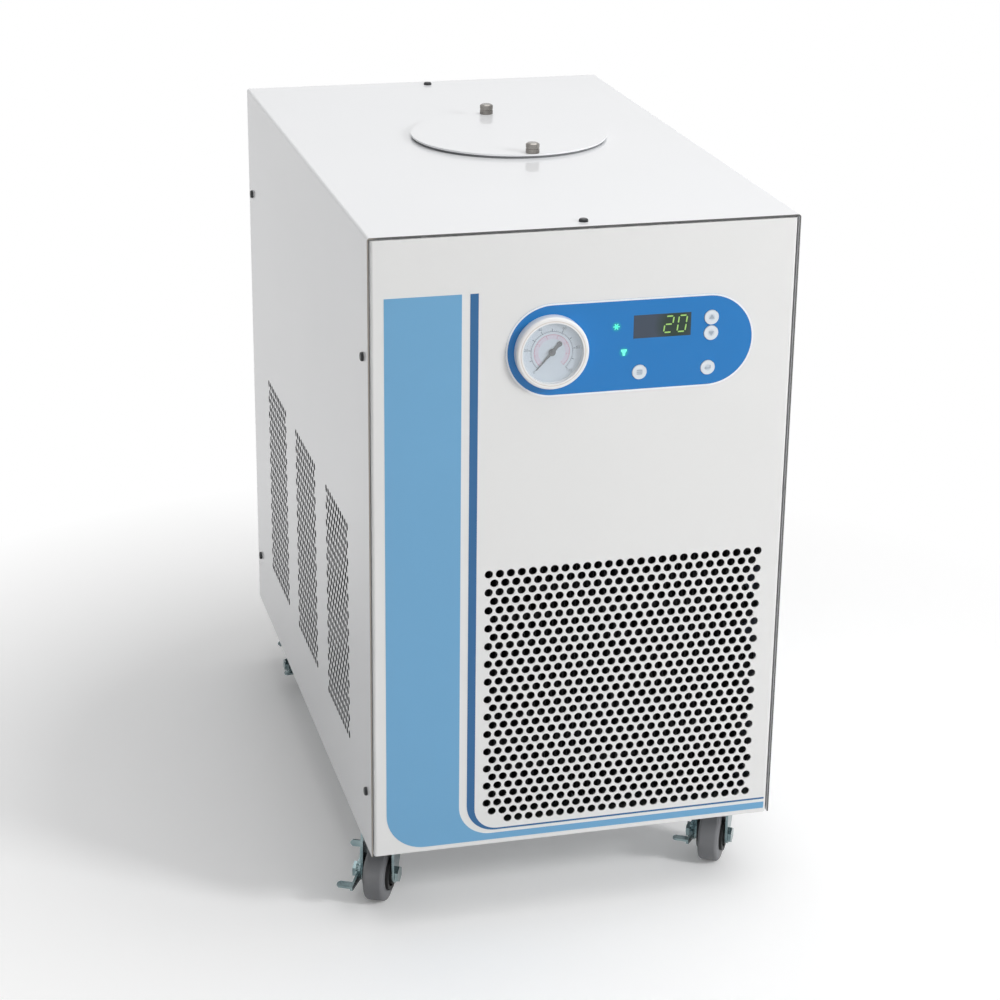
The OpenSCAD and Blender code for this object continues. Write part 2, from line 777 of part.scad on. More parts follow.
module lid_gasket() color("dimgray") place() difference() {
    translate([lid_x, lid_y, cabinet_h]) cylinder(h = gasket_t, d = gasket_d);
    translate([lid_x, lid_y, cabinet_h - eps]) cylinder(h = gasket_t + 2 * eps, d = filler_d);
    thumb_holes(cabinet_h - eps, gasket_t + 2 * eps, thumb_shank_d + 2 * run_gap);
}

// A knurled head with a plain collar on top, and its shank through lid, gasket and cover
knurls = 24;
knurl_depth = 0.4;
function knurl_ring(d) = [for (i = [0 : 2 * knurls - 1])
    (d / 2 - (i % 2) * knurl_depth) * [cos(i * 180 / knurls), sin(i * 180 / knurls)]];
module thumbscrew(side) color("silver") place()
    translate([lid_x, lid_y + side * thumb_offset, lid_z + lid_t + run_gap]) {
        linear_extrude(thumb_h * 0.42) polygon(knurl_ring(thumb_d));
        translate([0, 0, thumb_h * 0.42]) cylinder(h = thumb_h * 0.1, d = thumb_d - 2);
        translate([0, 0, thumb_h * 0.52]) linear_extrude(thumb_h * 0.38) polygon(knurl_ring(thumb_d));
        translate([0, 0, thumb_h * 0.9]) cylinder(h = thumb_h * 0.1, d1 = thumb_d - 1, d2 = thumb_d - 3);
        shank = lid_t + gasket_t + sheet_t + 8;
        translate([0, 0, -shank]) cylinder(h = shank, d = thumb_shank_d);
    }
module front_thumbscrew() thumbscrew(-1);
module rear_thumbscrew() thumbscrew(1);

// Reservoir, with the evaporator's coil inside it

cover_under = cabinet_h - sheet_t;
tank_base = cover_under - tank_depth;
neck_d = 16;
coil_z = tank_base + coil_base;
coil_end_angle = 160;
coil_end_z = coil_z + coil_rise * (coil_turns - (180 - coil_end_angle) / 360);
coil_end_y = lid_y + coil_d / 2 * sin(coil_end_angle);
function tank_wall_x(y) = lid_x - sqrt(pow(tank_d / 2, 2) - pow(y - lid_y, 2));

module reservoir_tank() color("silver") place() difference() {
    union() {
        translate([lid_x, lid_y, tank_base]) rotate_extrude() difference() {
            can_section(tank_d / 2, tank_depth, 6);
            translate([0, tank_t]) can_section(tank_d / 2 - tank_t, tank_depth - 2 * tank_t, 6 - tank_t);
        }
        translate([lid_x, lid_y, tank_base - neck_len]) cylinder(h = neck_len + tank_t, d = neck_d + 4);
    }
    translate([lid_x, lid_y, tank_base - neck_len - eps]) cylinder(h = neck_len + tank_t + 2 * eps, d = neck_d);
    translate([lid_x, lid_y, cover_under - 2 * tank_t]) cylinder(h = 4 * tank_t, d = filler_d + 2);
    thumb_holes(cover_under - 2 * tank_t, 4 * tank_t, thumb_shank_d + 2);
    for (p = [[lid_y, coil_z], [coil_end_y, coil_end_z]])
        translate([tank_wall_x(p[0]) - 10, p[0], p[1]]) along_x() cylinder(h = 30, d = coil_tube_d + 2 * run_gap);
    translate([return_x, lid_y, port_z]) along_y() cylinder(h = tank_d, d = water_d + 2 * run_gap);
}

// Points along the evaporator: in through the wall, round the turns and out again
coil_steps = 20;
coil_sides = 8;
stub_out = 3;
coil_path = concat(
    [[tank_wall_x(lid_y) - stub_out, lid_y, coil_z], [lid_x - coil_d / 2 - 8, lid_y, coil_z]],
    [for (i = [1 : coil_turns * coil_steps - 2])
        let(a = 180 + i * 360 / coil_steps)
        [lid_x + coil_d / 2 * cos(a), lid_y + coil_d / 2 * sin(a), coil_z + coil_rise * i / coil_steps]],
    [[lid_x + coil_d / 2 * cos(coil_end_angle) - 8, coil_end_y, coil_end_z],
        [tank_wall_x(coil_end_y) - stub_out, coil_end_y, coil_end_z]]);

// Rings of a tube round a path, each square to the mean of its two neighbouring runs
function path_way(p, i) = unit(p[min(i + 1, len(p) - 1)] - p[max(i - 1, 0)]);
function tube_ring(p, i, r) = let(
    way = path_way(p, i),
    side = unit(cross([0, 0, 1], way)),
    up = cross(way, side))
    [for (k = [0 : coil_sides - 1]) p[i] + r * (cos(k * 360 / coil_sides) * side + sin(k * 360 / coil_sides) * up)];
module tube(p, r) {
    rings = len(p);
    n = coil_sides;
    polyhedron(
        points = [for (i = [0 : rings - 1]) each tube_ring(p, i, r)],
        faces = concat(
            [[for (k = [n - 1 : -1 : 0]) k]],
            [for (i = [0 : rings - 2], k = [0 : n - 1])
                each [[i * n + k, i * n + (k + 1) % n, (i + 1) * n + k],
                    [i * n + (k + 1) % n, (i + 1) * n + (k + 1) % n, (i + 1) * n + k]]],
            [[for (k = [0 : n - 1]) (rings - 1) * n + k]]));
}
module evaporator_coil() color("peru") place() tube(coil_path, coil_tube_d / 2);

// The shelf is one folded sheet: a top and two legs that stand on the base pan
shelf_top = tank_base;
neck_len = 12;
module tank_shelf() color("silver") place() translate([shelf_x, lid_y - shelf_d / 2, 0]) difference() {
    translate([0, 0, pan_t]) front_plate(0, shelf_d) difference() {
        round_top(shelf_w, shelf_top - pan_t, shelf_t * 2);
        translate([shelf_t, -eps]) round_top(shelf_w - 2 * shelf_t, shelf_top - pan_t - shelf_t + eps, shelf_t);
    }
    translate([lid_x - shelf_x, shelf_d / 2, shelf_top - 3 * shelf_t]) cylinder(h = 6 * shelf_t, d = neck_d + 8);
    translate([-eps, 30, 50]) cube([shelf_w + 2 * eps, shelf_d - 60, shelf_top - 110]);
}

// Condenser and fan

core_x = grille_x + (grille_cols - 1) * hole_pitch / 2 - core_w / 2;
core_z = pan_t + core_base;
core_mid_x = core_x + core_w / 2;
core_mid_z = core_z + core_h / 2;
core_back = core_front + core_depth;
end_plate_t = 1.5;
foot_depth = caster_inset_y - core_front - 12;
fins = floor(core_w / fin_pitch) - 1;
pass_step = core_h / core_passes;
tube_rows = [core_front + core_depth * 0.27, core_front + core_depth * 0.73];
function pass_z(i) = core_z + pass_step * (i + 0.5);

module condenser() color("dimgray") place() {
    for (i = [1 : fins]) translate([core_x + i * core_w / (fins + 1) - fin_t / 2, core_front, core_z])
        cube([fin_t, core_depth, core_h]);
    for (x = [core_x - end_plate_t, core_x + core_w]) translate([x, core_front, 0]) {
        translate([0, 0, core_z]) cube([end_plate_t, core_depth, core_h]);
        translate([0, 0, pan_t]) cube([end_plate_t, foot_depth, core_base + 1]);
    }
    for (y = tube_rows, i = [0 : core_passes - 1])
        translate([core_x - end_plate_t, y, pass_z(i)]) along_x()
            cylinder(h = core_w + 2 * end_plate_t, d = core_tube_d);
    for (y = tube_rows, i = [0 : core_passes - 2])
        translate([i % 2 == 0 ? core_x + core_w + end_plate_t : core_x - end_plate_t, y, pass_z(i) + pass_step / 2])
            rotate([90, 0, i % 2 == 0 ? 0 : 180]) rotate([0, 0, -90])
                rotate_extrude(angle = 180) translate([pass_step / 2, 0]) circle(d = core_tube_d);
}

shroud_back = core_back + shroud_depth;
ring_r = fan_d / 2 + fan_gap;
ring_lip = 14;
ring_t = 1.5;
motor_front = shroud_back + 16;
arm_y = motor_front + 14;
arm_w = 8;
arm_t = 3;
arm_reach = 84;
clamp_t = 3;
module fan_shroud() color("darkslategray") place() {
    difference() {
        translate([core_x, core_back, core_z]) cube([core_w, shroud_depth, core_h]);
        translate([core_x + sheet_t, core_back - eps, core_z + sheet_t])
            cube([core_w - 2 * sheet_t, shroud_depth - sheet_t + eps, core_h - 2 * sheet_t]);
        translate([core_mid_x, core_back, core_mid_z]) along_y() cylinder(h = 2 * shroud_depth, r = ring_r);
    }
    translate([core_mid_x, shroud_back - ring_lip, core_mid_z]) along_y() difference() {
        cylinder(h = ring_lip, r = ring_r + ring_t);
        translate([0, 0, -eps]) cylinder(h = ring_lip + 2 * eps, r = ring_r);
    }
    for (turn = [45 : 90 : 315]) translate([core_mid_x, 0, core_mid_z]) rotate([0, turn, 0]) {
        reach = arm_reach * sqrt(2);
        translate([reach, shroud_back - sheet_t, 0]) along_y() cylinder(h = arm_y + arm_t - shroud_back + sheet_t, d = arm_w);
        translate([fan_motor_d / 2 + clamp_t / 2, arm_y, -arm_w / 2])
            cube([reach - fan_motor_d / 2 - clamp_t / 2, arm_t, arm_w]);
    }
    translate([core_mid_x, arm_y - 4, core_mid_z]) along_y() difference() {
        cylinder(h = arm_t + 8, r = fan_motor_d / 2 + clamp_t);
        translate([0, 0, -eps]) cylinder(h = arm_t + 8 + 2 * eps, r = fan_motor_d / 2);
    }
}

blade_t = 1.2;
blade_root = fan_hub_d / 2 - 3;
blade_half = 26;
hub_y = shroud_back - 14;
hub_len = 18;
module fan_rotor() color("slategray") place() translate([core_mid_x, 0, core_mid_z]) {
    translate([0, hub_y, 0]) along_y() cylinder(h = hub_len, d = fan_hub_d);
    for (i = [0 : fan_blades - 1]) rotate([0, i * 360 / fan_blades, 0])
        translate([0, hub_y + hub_len / 2, 0]) rotate([90 + blade_pitch, 0, 0])
            linear_extrude(blade_t, center = true) intersection() {
                circle(r = fan_d / 2);
                polygon([[blade_root, -9], [fan_d * 0.36, -blade_half * 0.85], [fan_d, -blade_half * 0.85],
                    [fan_d, blade_half * 1.3], [fan_d * 0.3, blade_half * 1.1], [blade_root, 10]]);
            }
    translate([0, hub_y, 0]) along_y() cylinder(h = motor_front - hub_y + 20, d = fan_shaft_d);
}

module fan_motor() color("darkslategray") place() translate([core_mid_x, motor_front, core_mid_z]) along_y()
    difference() {
        union() {
            rotate_extrude() can_section(fan_motor_d / 2, fan_motor_len, 5);
            translate([0, 0, -4]) cylinder(h = 8, d = 24);
        }
        translate([0, 0, -eps - 4]) cylinder(h = 24 + eps + 1, d = fan_shaft_d + 2 * run_gap);
    }

// Compressor and refrigerant lines

comp_base = pan_t + mount_h;
comp_top = comp_base + comp_h;
foot_plate_t = 3;
foot_reach = comp_d / 2 - 1;
mount_r = 9;
module compressor() color("black") place() {
    translate([comp_x, comp_y, comp_base]) {
        rotate_extrude() can_section(comp_d / 2, comp_h, 30);
        translate([0, 0, comp_h * 0.45]) cylinder(h = 6, d = comp_d + 5);
        translate([0, 0, comp_h - 1]) cylinder(h = 12, d = 40);
        translate([-foot_reach, -foot_reach, 0]) cube([2 * foot_reach, 2 * foot_reach, foot_plate_t]);
    }
    for (x = [-1, 1], y = [-1, 1])
        translate([comp_x + x * (foot_reach - 12), comp_y + y * (foot_reach - 12), pan_t]) {
            cylinder(h = mount_h, r = mount_r);
            cylinder(h = mount_h + foot_plate_t + 4, r = 4);
        }
    translate([comp_x, comp_y - stub_r, comp_top - 40]) cylinder(h = 40 + stub_up, d = line_d + 4);
    translate([suction_x, comp_y + 30, suction_z]) along_y() cylinder(h = stub_y - comp_y - 30, d = line_d + 4);
}

bend_r = 16;
stub_r = comp_d / 3;
stub_up = 6;
suction_x = comp_x - comp_d / 3;
suction_z = comp_base + comp_h * 0.55;
stub_y = comp_y + comp_d / 2 + 2;
core_stub = 6;
line_left = core_x - end_plate_t - core_stub - bend_r - 6;
over_z = core_z + core_h + bend_r + line_d + 12;
line_y = tube_rows[1];

module discharge_line() color("peru") place() bent_bar([
    [comp_x, comp_y - stub_r, comp_top + stub_up],
    [comp_x, comp_y - stub_r, over_z],
    [comp_x, line_y, over_z],
    [line_left, line_y, over_z],
    [line_left, line_y, pass_z(core_passes - 1)],
    [core_x - end_plate_t, line_y, pass_z(core_passes - 1)]], line_d, bend_r);

drier_y = core_back + shroud_depth + 58;
drier_base = pan_t + 64;
drier_neck = 12;
module liquid_line() color("peru") place() bent_bar([
    [core_x - end_plate_t, line_y, pass_z(0)],
    [line_left, line_y, pass_z(0)],
    [line_left, drier_y, pass_z(0)],
    [line_left, drier_y, drier_base]], line_d, bend_r);

module filter_drier() color("goldenrod") place() translate([line_left, drier_y, drier_base]) rotate_extrude() {
    translate([0, drier_neck]) can_section(drier_d / 2, drier_len, 8);
    square([line_d / 2 + 2, drier_len + 2 * drier_neck]);
}

module capillary_line() color("peru") place() bent_bar([
    [line_left, drier_y, drier_base + drier_len + 2 * drier_neck],
    [line_left, drier_y, coil_z],
    [line_left, lid_y, coil_z],
    [tank_wall_x(lid_y) - stub_out, lid_y, coil_z]], line_d, bend_r);

suction_turn_y = lid_y + shelf_d / 2 + line_d + 2;
module suction_line() color("peru") place() bent_bar([
    [tank_wall_x(coil_end_y) - stub_out, coil_end_y, coil_end_z],
    [suction_x, coil_end_y, coil_end_z],
    [suction_x, suction_turn_y, coil_end_z],
    [suction_x, suction_turn_y, suction_z],
    [suction_x, stub_y, suction_z]], line_d, 11);

// Pump and plumbing

pump_x = cabinet_w - pump_right;
pump_z = pan_t + pump_axis_z;
pump_head_y = pump_front + pump_motor_len;
pump_end_y = pump_head_y + pump_head_len;
pump_port_y = pump_head_y + pump_head_len / 2;
pump_port_z = pump_z + pump_head_d / 2 + 6;
supply_x = pump_x;
inlet_end_y = pump_end_y + 8;
module circulation_pump() color("steelblue") place() {
    translate([pump_x, pump_front, pump_z]) along_y() {
        rotate_extrude() can_section(pump_motor_d / 2, pump_motor_len, 8);
        for (i = [0 : 11]) rotate(i * 30 + 15) translate([pump_motor_d / 2 - 2, -1, 20])
            cube([5, 2, pump_motor_len - 40]);
    }
    translate([pump_x, pump_head_y - 1, pump_z]) along_y()
        rotate_extrude() can_section(pump_head_d / 2, pump_head_len + 1, 6);
    translate([pump_x, pump_port_y, pump_z]) cylinder(h = pump_port_z - pump_z, d = water_d + 6);
    translate([pump_x, pump_end_y - 2, pump_z]) along_y() cylinder(h = inlet_end_y - pump_end_y + 2, d = water_d + 6);
    translate([pump_x - 40, pump_front + pump_motor_len / 5, pan_t]) cube([80, pump_motor_len / 2, 6]);
    for (x = [-28, 28]) translate([pump_x + x - 4, pump_front + pump_motor_len / 4, pan_t + 5])
        cube([8, pump_motor_len / 3, pump_axis_z - pump_motor_d / 4]);
}

tube_bend = 22;
feed_z = tank_base - neck_len - 34;
feed_back = inlet_end_y + 30;
module pump_feed_tube() color("lightgray") place() bent_bar([
    [lid_x, lid_y, tank_base - neck_len],
    [lid_x, lid_y, feed_z],
    [lid_x, feed_back, feed_z],
    [pump_x, feed_back, feed_z],
    [pump_x, feed_back, pump_z],
    [pump_x, inlet_end_y, pump_z]], water_d, tube_bend);

port_neck_d = port_bore_d + 5;
port_nut_t = 7;
port_back = cabinet_d - sheet_t - port_nut_t;
module supply_tube() color("lightgray") place() bent_bar([
    [pump_x, pump_port_y, pump_port_z],
    [pump_x, pump_port_y, port_z],
    [pump_x, port_back, port_z]], water_d, tube_bend);

// A bulkhead port: a hexagon with a female thread outside, and a nut inside
module water_port(x) translate([x, 0, port_z]) difference() {
    union() {
        translate([0, cabinet_d, 0]) along_y() hex(port_hex, port_len);
        translate([0, port_back, 0]) along_y() cylinder(h = sheet_t + port_nut_t + 1, d = port_neck_d);
        translate([0, port_back, 0]) along_y() hex(port_hex - 2, port_nut_t);
    }
    translate([0, cabinet_d + 2, 0]) along_y() cylinder(h = port_len, d = port_bore_d);
}
module supply_port() color("goldenrod") place() water_port(supply_x);
module return_port() color("goldenrod") place() {
    water_port(return_x);
    tank_back = lid_y + sqrt(pow(tank_d / 2, 2) - pow(lid_x - return_x, 2));
    translate([return_x, tank_back - 8, port_z]) along_y() cylinder(h = port_back - tank_back + 9, d = water_d);
}

// Power inlet with its rocker switch

inlet_w = 29;
inlet_h = 47;
inlet_flange = 3.5;
inlet_plate_t = 2.5;
inlet_depth = 26;
socket_w = 22;
socket_h = 16;
socket_drop = -9;
rocker_w = 18;
rocker_h = 13;
rocker_z = 13;
rocker_tilt = 8;
rocker_pivot_y = cabinet_d + 0.6;
module at_inlet() place() translate([inlet_x, 0, inlet_z]) children();
module power_inlet() color("black") at_inlet() difference() {
    union() {
        translate([-inlet_w / 2 - inlet_flange, cabinet_d, -inlet_h / 2 - inlet_flange])
            cube([inlet_w + 2 * inlet_flange, inlet_plate_t, inlet_h + 2 * inlet_flange]);
        translate([-inlet_w / 2, cabinet_d - inlet_depth, -inlet_h / 2]) cube([inlet_w, inlet_depth + 1, inlet_h]);
    }
    translate([-socket_w / 2, cabinet_d - 18, socket_drop - socket_h / 2])
        cube([socket_w, 30, socket_h]);
    translate([-rocker_w / 2 - seat_gap, cabinet_d - 12, rocker_z - rocker_h / 2 - seat_gap])
        cube([rocker_w + 2 * seat_gap, 20, rocker_h + 2 * seat_gap]);
}
module power_rocker() color("dimgray") at_inlet() translate([-rocker_w / 2, rocker_pivot_y, rocker_z])
    rotate([90, 0, 90]) rotate(rocker_tilt) linear_extrude(rocker_w)
        polygon([[-6, -2], [-6, 2], [1, rocker_h / 2 - 1.2], [3.4, rocker_h / 2 - 1.2], [2.2, 0],
            [3.4, -rocker_h / 2 + 1.2], [1, -rocker_h / 2 + 1.2]]);

// Casters. Each is drawn with its swivel axis on Z, its wheel towards -Y and z = 0 at the base pan

module at_caster(i) place() translate([casters[i][1], casters[i][2], 0]) rotate(-casters[i][3]) children();

module caster_stem() {
    cylinder(h = stem_up, r = stem_r);
    translate([0, 0, pan_t]) hex(16, 8);
    rotate_extrude() polygon([[0, 0], [collar_r, 0], [collar_r, -collar_h], [cap_r - 3, -collar_h],
        [cap_r, -collar_h - 2], [cap_r, -cap_h], [0, -cap_h]]);
    translate([0, 0, crown_z - seat_gap - retainer_h]) {
        cylinder(h = -cap_h - crown_z + seat_gap + retainer_h, r = stem_r);
        cylinder(h = retainer_h, r = retainer_r);
    }
}
module caster_stems() color("silver") for (i = [0 : 3]) at_caster(i) caster_stem();

// One leg's outline, from the crown down to the eye round the axle
leg_eye_r = 8;
leg_top_half = 15;
module leg_shape() {
    polygon([[-leg_top_half - 2, crown_z + crown_t], [leg_top_half, crown_z + crown_t],
        [leg_top_half, crown_z - 3], [-trail + leg_eye_r * 0.9, axle_z + 3],
        [-trail - leg_eye_r, axle_z], [-leg_top_half - 4, crown_z - 6]]);
    translate([-trail, axle_z]) circle(leg_eye_r);
}

module fork() difference() {
    union() {
        translate([0, 0, crown_z]) cylinder(h = crown_t, r = cap_r - 1);
        translate([-leg_out, -leg_top_half - 2, crown_z]) cube([2 * leg_out, 2 * leg_top_half + 2, crown_t]);
        for (x = [-leg_out, leg_in]) translate([x, 0, 0]) rotate([90, 0, 90]) linear_extrude(fork_t) leg_shape();
        translate([-nut_in - nut_h - thread_end, -trail, axle_z]) along_x()
            cylinder(h = nut_in + nut_h + thread_end + leg_out + 1, d = axle_d);
        translate([-nut_in - nut_h, -trail, axle_z]) along_x() hex(nut_flats, nut_h);
        translate([leg_out, -trail, axle_z]) along_x() hex(nut_flats, nut_h);
    }
    translate([0, 0, crown_z - eps]) cylinder(h = crown_t + 2 * eps, r = stem_r + run_gap);
}

// A wheel's core: hub, web and rim as one revolve
hub_r = 9;
hub_half = leg_in - seat_gap;
web_half = 2.5;
rim_in_r = core_d / 2 - 3.5;
core_proud = 2.6;
rim_half = wheel_w / 2 + core_proud;
module wheel_core() translate([0, -trail, axle_z]) along_x() rotate_extrude() {
    translate([axle_d / 2 + run_gap, -hub_half]) square([hub_r - axle_d / 2 - run_gap, 2 * hub_half]);
    translate([hub_r - 1, -web_half]) square([rim_in_r - hub_r + 2, 2 * web_half]);
    translate([rim_in_r, -rim_half]) square([core_d / 2 - rim_in_r, 2 * rim_half]);
}

shoulder_r = 3;
module tyre() translate([0, -trail, axle_z]) along_x() rotate_extrude() {
    half = wheel_w / 2;
    outer = wheel_d / 2;
    translate([core_d / 2, -half]) square([outer - shoulder_r - core_d / 2, 2 * half]);
    translate([core_d / 2, -half + shoulder_r]) square([outer - core_d / 2, 2 * (half - shoulder_r)]);
    for (x = [-1, 1]) translate([outer - shoulder_r, x * (half - shoulder_r)]) circle(shoulder_r);
}

// The brake lever rocks on the axle: an eye, two arms and two pedals folded outwards
eye_r = 9;
cam_teeth = 14;
cam_ring = [for (i = [0 : 2 * cam_teeth - 1])
    (cam_r - (i % 2) * 1.8) * [cos(i * 180 / cam_teeth), sin(i * 180 / cam_teeth)]];
module lever_arm(reach, w, direction) translate([-trail, axle_z]) rotate(direction)
    polygon([[0, -arm_half], [reach + w / 2, -arm_half], [reach + w / 2, -arm_half + 2 * pedal_t], [0, eye_r - 2]]);
module pedal(reach, w, length, direction) translate([-lever_out - length, -trail, axle_z]) rotate([direction, 0, 0])
    difference() {
        translate([0, reach - w / 2, -arm_half]) cube([length + 1, w, pedal_t]);
        for (side = [-1, 1]) translate([0, reach + side * w / 2, -arm_half - 1]) rotate(45)
            cube([3, 3, 2 * pedal_t + 2], center = true);
    }
module brake(press) difference() {
    union() {
        translate([-lever_out, 0, 0]) rotate([90, 0, 90]) linear_extrude(lever_t) {
            translate([-trail, axle_z]) circle(eye_r);
            lever_arm(lock_reach, pedal_w, 180 - lock_rise + press);
            lever_arm(release_reach, tab_w, release_rise + press);
        }
        translate([-lever_out - cam_h, -trail, axle_z]) rotate([90, 0, 90])
            linear_extrude(cam_h + 1) polygon(cam_ring);
        pedal(lock_reach, pedal_w, pedal_len, 180 - lock_rise + press);
        pedal(release_reach, tab_w, tab_len, release_rise + press);
    }
    translate([-lever_out - cam_h - eps, -trail, axle_z]) along_x()
        cylinder(h = cam_h + lever_t + 2 * eps, d = axle_d + 2 * run_gap);
}

module front_left_fork() color("silver") at_caster(0) fork();
module front_left_wheel() color("black") at_caster(0) wheel_core();
module front_left_tyre() color("gray") at_caster(0) tyre();
module front_left_brake() color("silver") at_caster(0) brake(casters[0][4]);
module front_right_fork() color("silver") at_caster(1) fork();
module front_right_wheel() color("black") at_caster(1) wheel_core();
module front_right_tyre() color("gray") at_caster(1) tyre();
module front_right_brake() color("silver") at_caster(1) brake(casters[1][4]);
module rear_left_fork() color("silver") at_caster(2) fork();
module rear_left_wheel() color("black") at_caster(2) wheel_core();
module rear_left_tyre() color("gray") at_caster(2) tyre();
module rear_left_brake() color("silver") at_caster(2) brake(casters[2][4]);
module rear_right_fork() color("silver") at_caster(3) fork();
module rear_right_wheel() color("black") at_caster(3) wheel_core();
module rear_right_tyre() color("gray") at_caster(3) tyre();
module rear_right_brake() color("silver") at_caster(3) brake(casters[3][4]);

wrap_cover();
front_panel();
rear_panel();
base_pan();
cover_screws();
wide_stripe();
narrow_stripe();
control_overlay();
display_lens();
controller_board();
status_lamps();
up_key();
down_key();
enter_key();
mode_key();
gauge_case();
gauge_dial();
gauge_pointer();
gauge_lens();
reservoir_lid();
lid_gasket();
front_thumbscrew();
rear_thumbscrew();
reservoir_tank();
evaporator_coil();
tank_shelf();
condenser();
fan_shroud();
fan_rotor();
fan_motor();
compressor();
filter_drier();
discharge_line();
liquid_line();
capillary_line();
suction_line();
circulation_pump();
pump_feed_tube();
supply_tube();
supply_port();
return_port();
power_inlet();
power_rocker();
caster_stems();
front_left_fork();
front_left_wheel();
front_left_tyre();
front_left_brake();
front_right_fork();
front_right_wheel();
front_right_tyre();
front_right_brake();
rear_left_fork();
rear_left_wheel();
rear_left_tyre();
rear_left_brake();
rear_right_fork();
rear_right_wheel();
rear_right_tyre();
rear_right_brake();
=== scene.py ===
import math

import bpy
from mathutils import Matrix, Vector

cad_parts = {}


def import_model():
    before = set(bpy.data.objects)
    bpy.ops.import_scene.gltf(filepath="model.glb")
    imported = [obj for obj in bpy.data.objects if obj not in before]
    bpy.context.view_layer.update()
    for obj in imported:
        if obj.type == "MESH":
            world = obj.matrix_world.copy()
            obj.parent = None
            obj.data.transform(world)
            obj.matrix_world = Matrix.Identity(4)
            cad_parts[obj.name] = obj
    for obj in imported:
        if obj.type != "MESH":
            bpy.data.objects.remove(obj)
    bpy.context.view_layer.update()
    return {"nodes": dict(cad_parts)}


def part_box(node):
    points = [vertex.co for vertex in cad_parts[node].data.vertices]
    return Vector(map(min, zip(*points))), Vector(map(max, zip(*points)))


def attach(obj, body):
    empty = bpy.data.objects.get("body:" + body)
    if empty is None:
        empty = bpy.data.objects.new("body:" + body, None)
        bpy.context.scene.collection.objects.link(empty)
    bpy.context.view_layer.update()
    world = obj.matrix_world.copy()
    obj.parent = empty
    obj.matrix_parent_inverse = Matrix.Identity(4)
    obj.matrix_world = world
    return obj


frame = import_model()
nodes = frame["nodes"]

# Lengths are in millimetres from the cabinet's lower left front corner, as in the part's source

MM = 0.001
PANEL_SIDE = 2.5
panel_low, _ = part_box("front_panel")
CORNER = Vector((panel_low[0] - PANEL_SIDE * MM, panel_low[1], panel_low[2]))

CABINET_W = 356.0
GAUGE = (148.5, 438.6)
DIGITS_MIDDLE = (253.4, 453.6)
KEYS = {"up": (283.3, 457.8), "down": (283.3, 444.7), "enter": (281.6, 415.5),
        "mode": (223.5, 415.5)}
COOL = (203.1, 454.8)
LEVEL = (209.9, 433.1)
HALO_R = 4.6


def place(x, y, z):
    """A point in millimetres from the corner, as metres in the row frame."""
    return CORNER + Vector((x, y, z)) * MM


# Colours

def rgb(red, green, blue):
    """Screen values from 0 to 255 as a linear colour."""
    def linear(v):
        v = v / 255
        return v / 12.92 if v <= 0.04045 else ((v + 0.055) / 1.055) ** 2.4
    return (linear(red), linear(green), linear(blue), 1.0)


def shade(colour, factor):
    return tuple(min(1.0, c * factor) for c in colour[:3]) + (1.0,)


WHITE_LIGHT = (1.0, 1.0, 1.0, 1.0)
WHITE = rgb(241, 242, 244)
OVERLAY_BLUE = rgb(4, 122, 197)
# Front edge of the cover: raw metal darkened with painted shade of the gap to the front panel
EDGE_RAW_AND_SHADE = rgb(98, 99, 99)
EDGE_RAW_AND_SHADE_LEFT = rgb(150, 145, 138)
# Painted shade for the cut walls in the holes of the side vents
CUT_WALL_SHADE = rgb(70, 72, 75)
PAN = (0.62, 0.63, 0.64, 1.0)
PAN_TINT = (0.55, 0.57, 0.58, 1.0)
NICKEL = (0.38, 0.36, 0.335, 1.0)
NICKEL_TINT = (0.08, 0.075, 0.07, 1.0)
STEEL = (0.66, 0.67, 0.68, 1.0)
STEEL_TINT = (0.58, 0.59, 0.60, 1.0)
COPPER = (0.80, 0.42, 0.27, 1.0)
COPPER_TINT = (0.62, 0.30, 0.18, 1.0)
BRASS = (0.78, 0.60, 0.30, 1.0)
BRASS_TINT = (0.66, 0.48, 0.22, 1.0)
ZINC = (0.34, 0.42, 0.43, 1.0)
ZINC_TINT = (0.12, 0.19, 0.21, 1.0)


# Materials

class Tree:
    """Short calls for the nodes of a material or of the world."""

    def __init__(self, tree):
        self.tree = tree

    def add(self, kind, inputs=None, **settings):
        node = self.tree.nodes.new(kind)
        for key, value in settings.items():
            setattr(node, key, value)
        for key, value in (inputs or {}).items():
            self.link(value, node.inputs[key])
        return node

    def link(self, value, socket):
        if isinstance(value, bpy.types.NodeSocket):
            self.tree.links.new(value, socket)
        else:
            socket.default_value = value

    def math(self, operation, a, b=0.0, clamp=False):
        node = self.add("ShaderNodeMath", {0: a, 1: b}, operation=operation, use_clamp=clamp)
        return node.outputs[0]

    def product(self, first, *others):
        for factor in others:
            first = self.math("MULTIPLY", first, factor)
        return first

    def seen(self):
        """1 for rays of the camera, of reflections and through glass, else 0."""
        path = self.add("ShaderNodeLightPath").outputs
        through = self.math("MAXIMUM", path["Is Glossy Ray"], path["Is Transmission Ray"])
        return self.math("MAXIMUM", path["Is Camera Ray"], through)

    def blend(self, factor, first, second, output):
        """Send a mix of two shaders to the tree's output."""
        node = self.add("ShaderNodeMixShader", {0: factor})
        self.link(first.outputs[0], node.inputs[1])
        self.link(second.outputs[0], node.inputs[2])
        self.link(node.outputs[0], self.tree.nodes[output].inputs["Surface"])


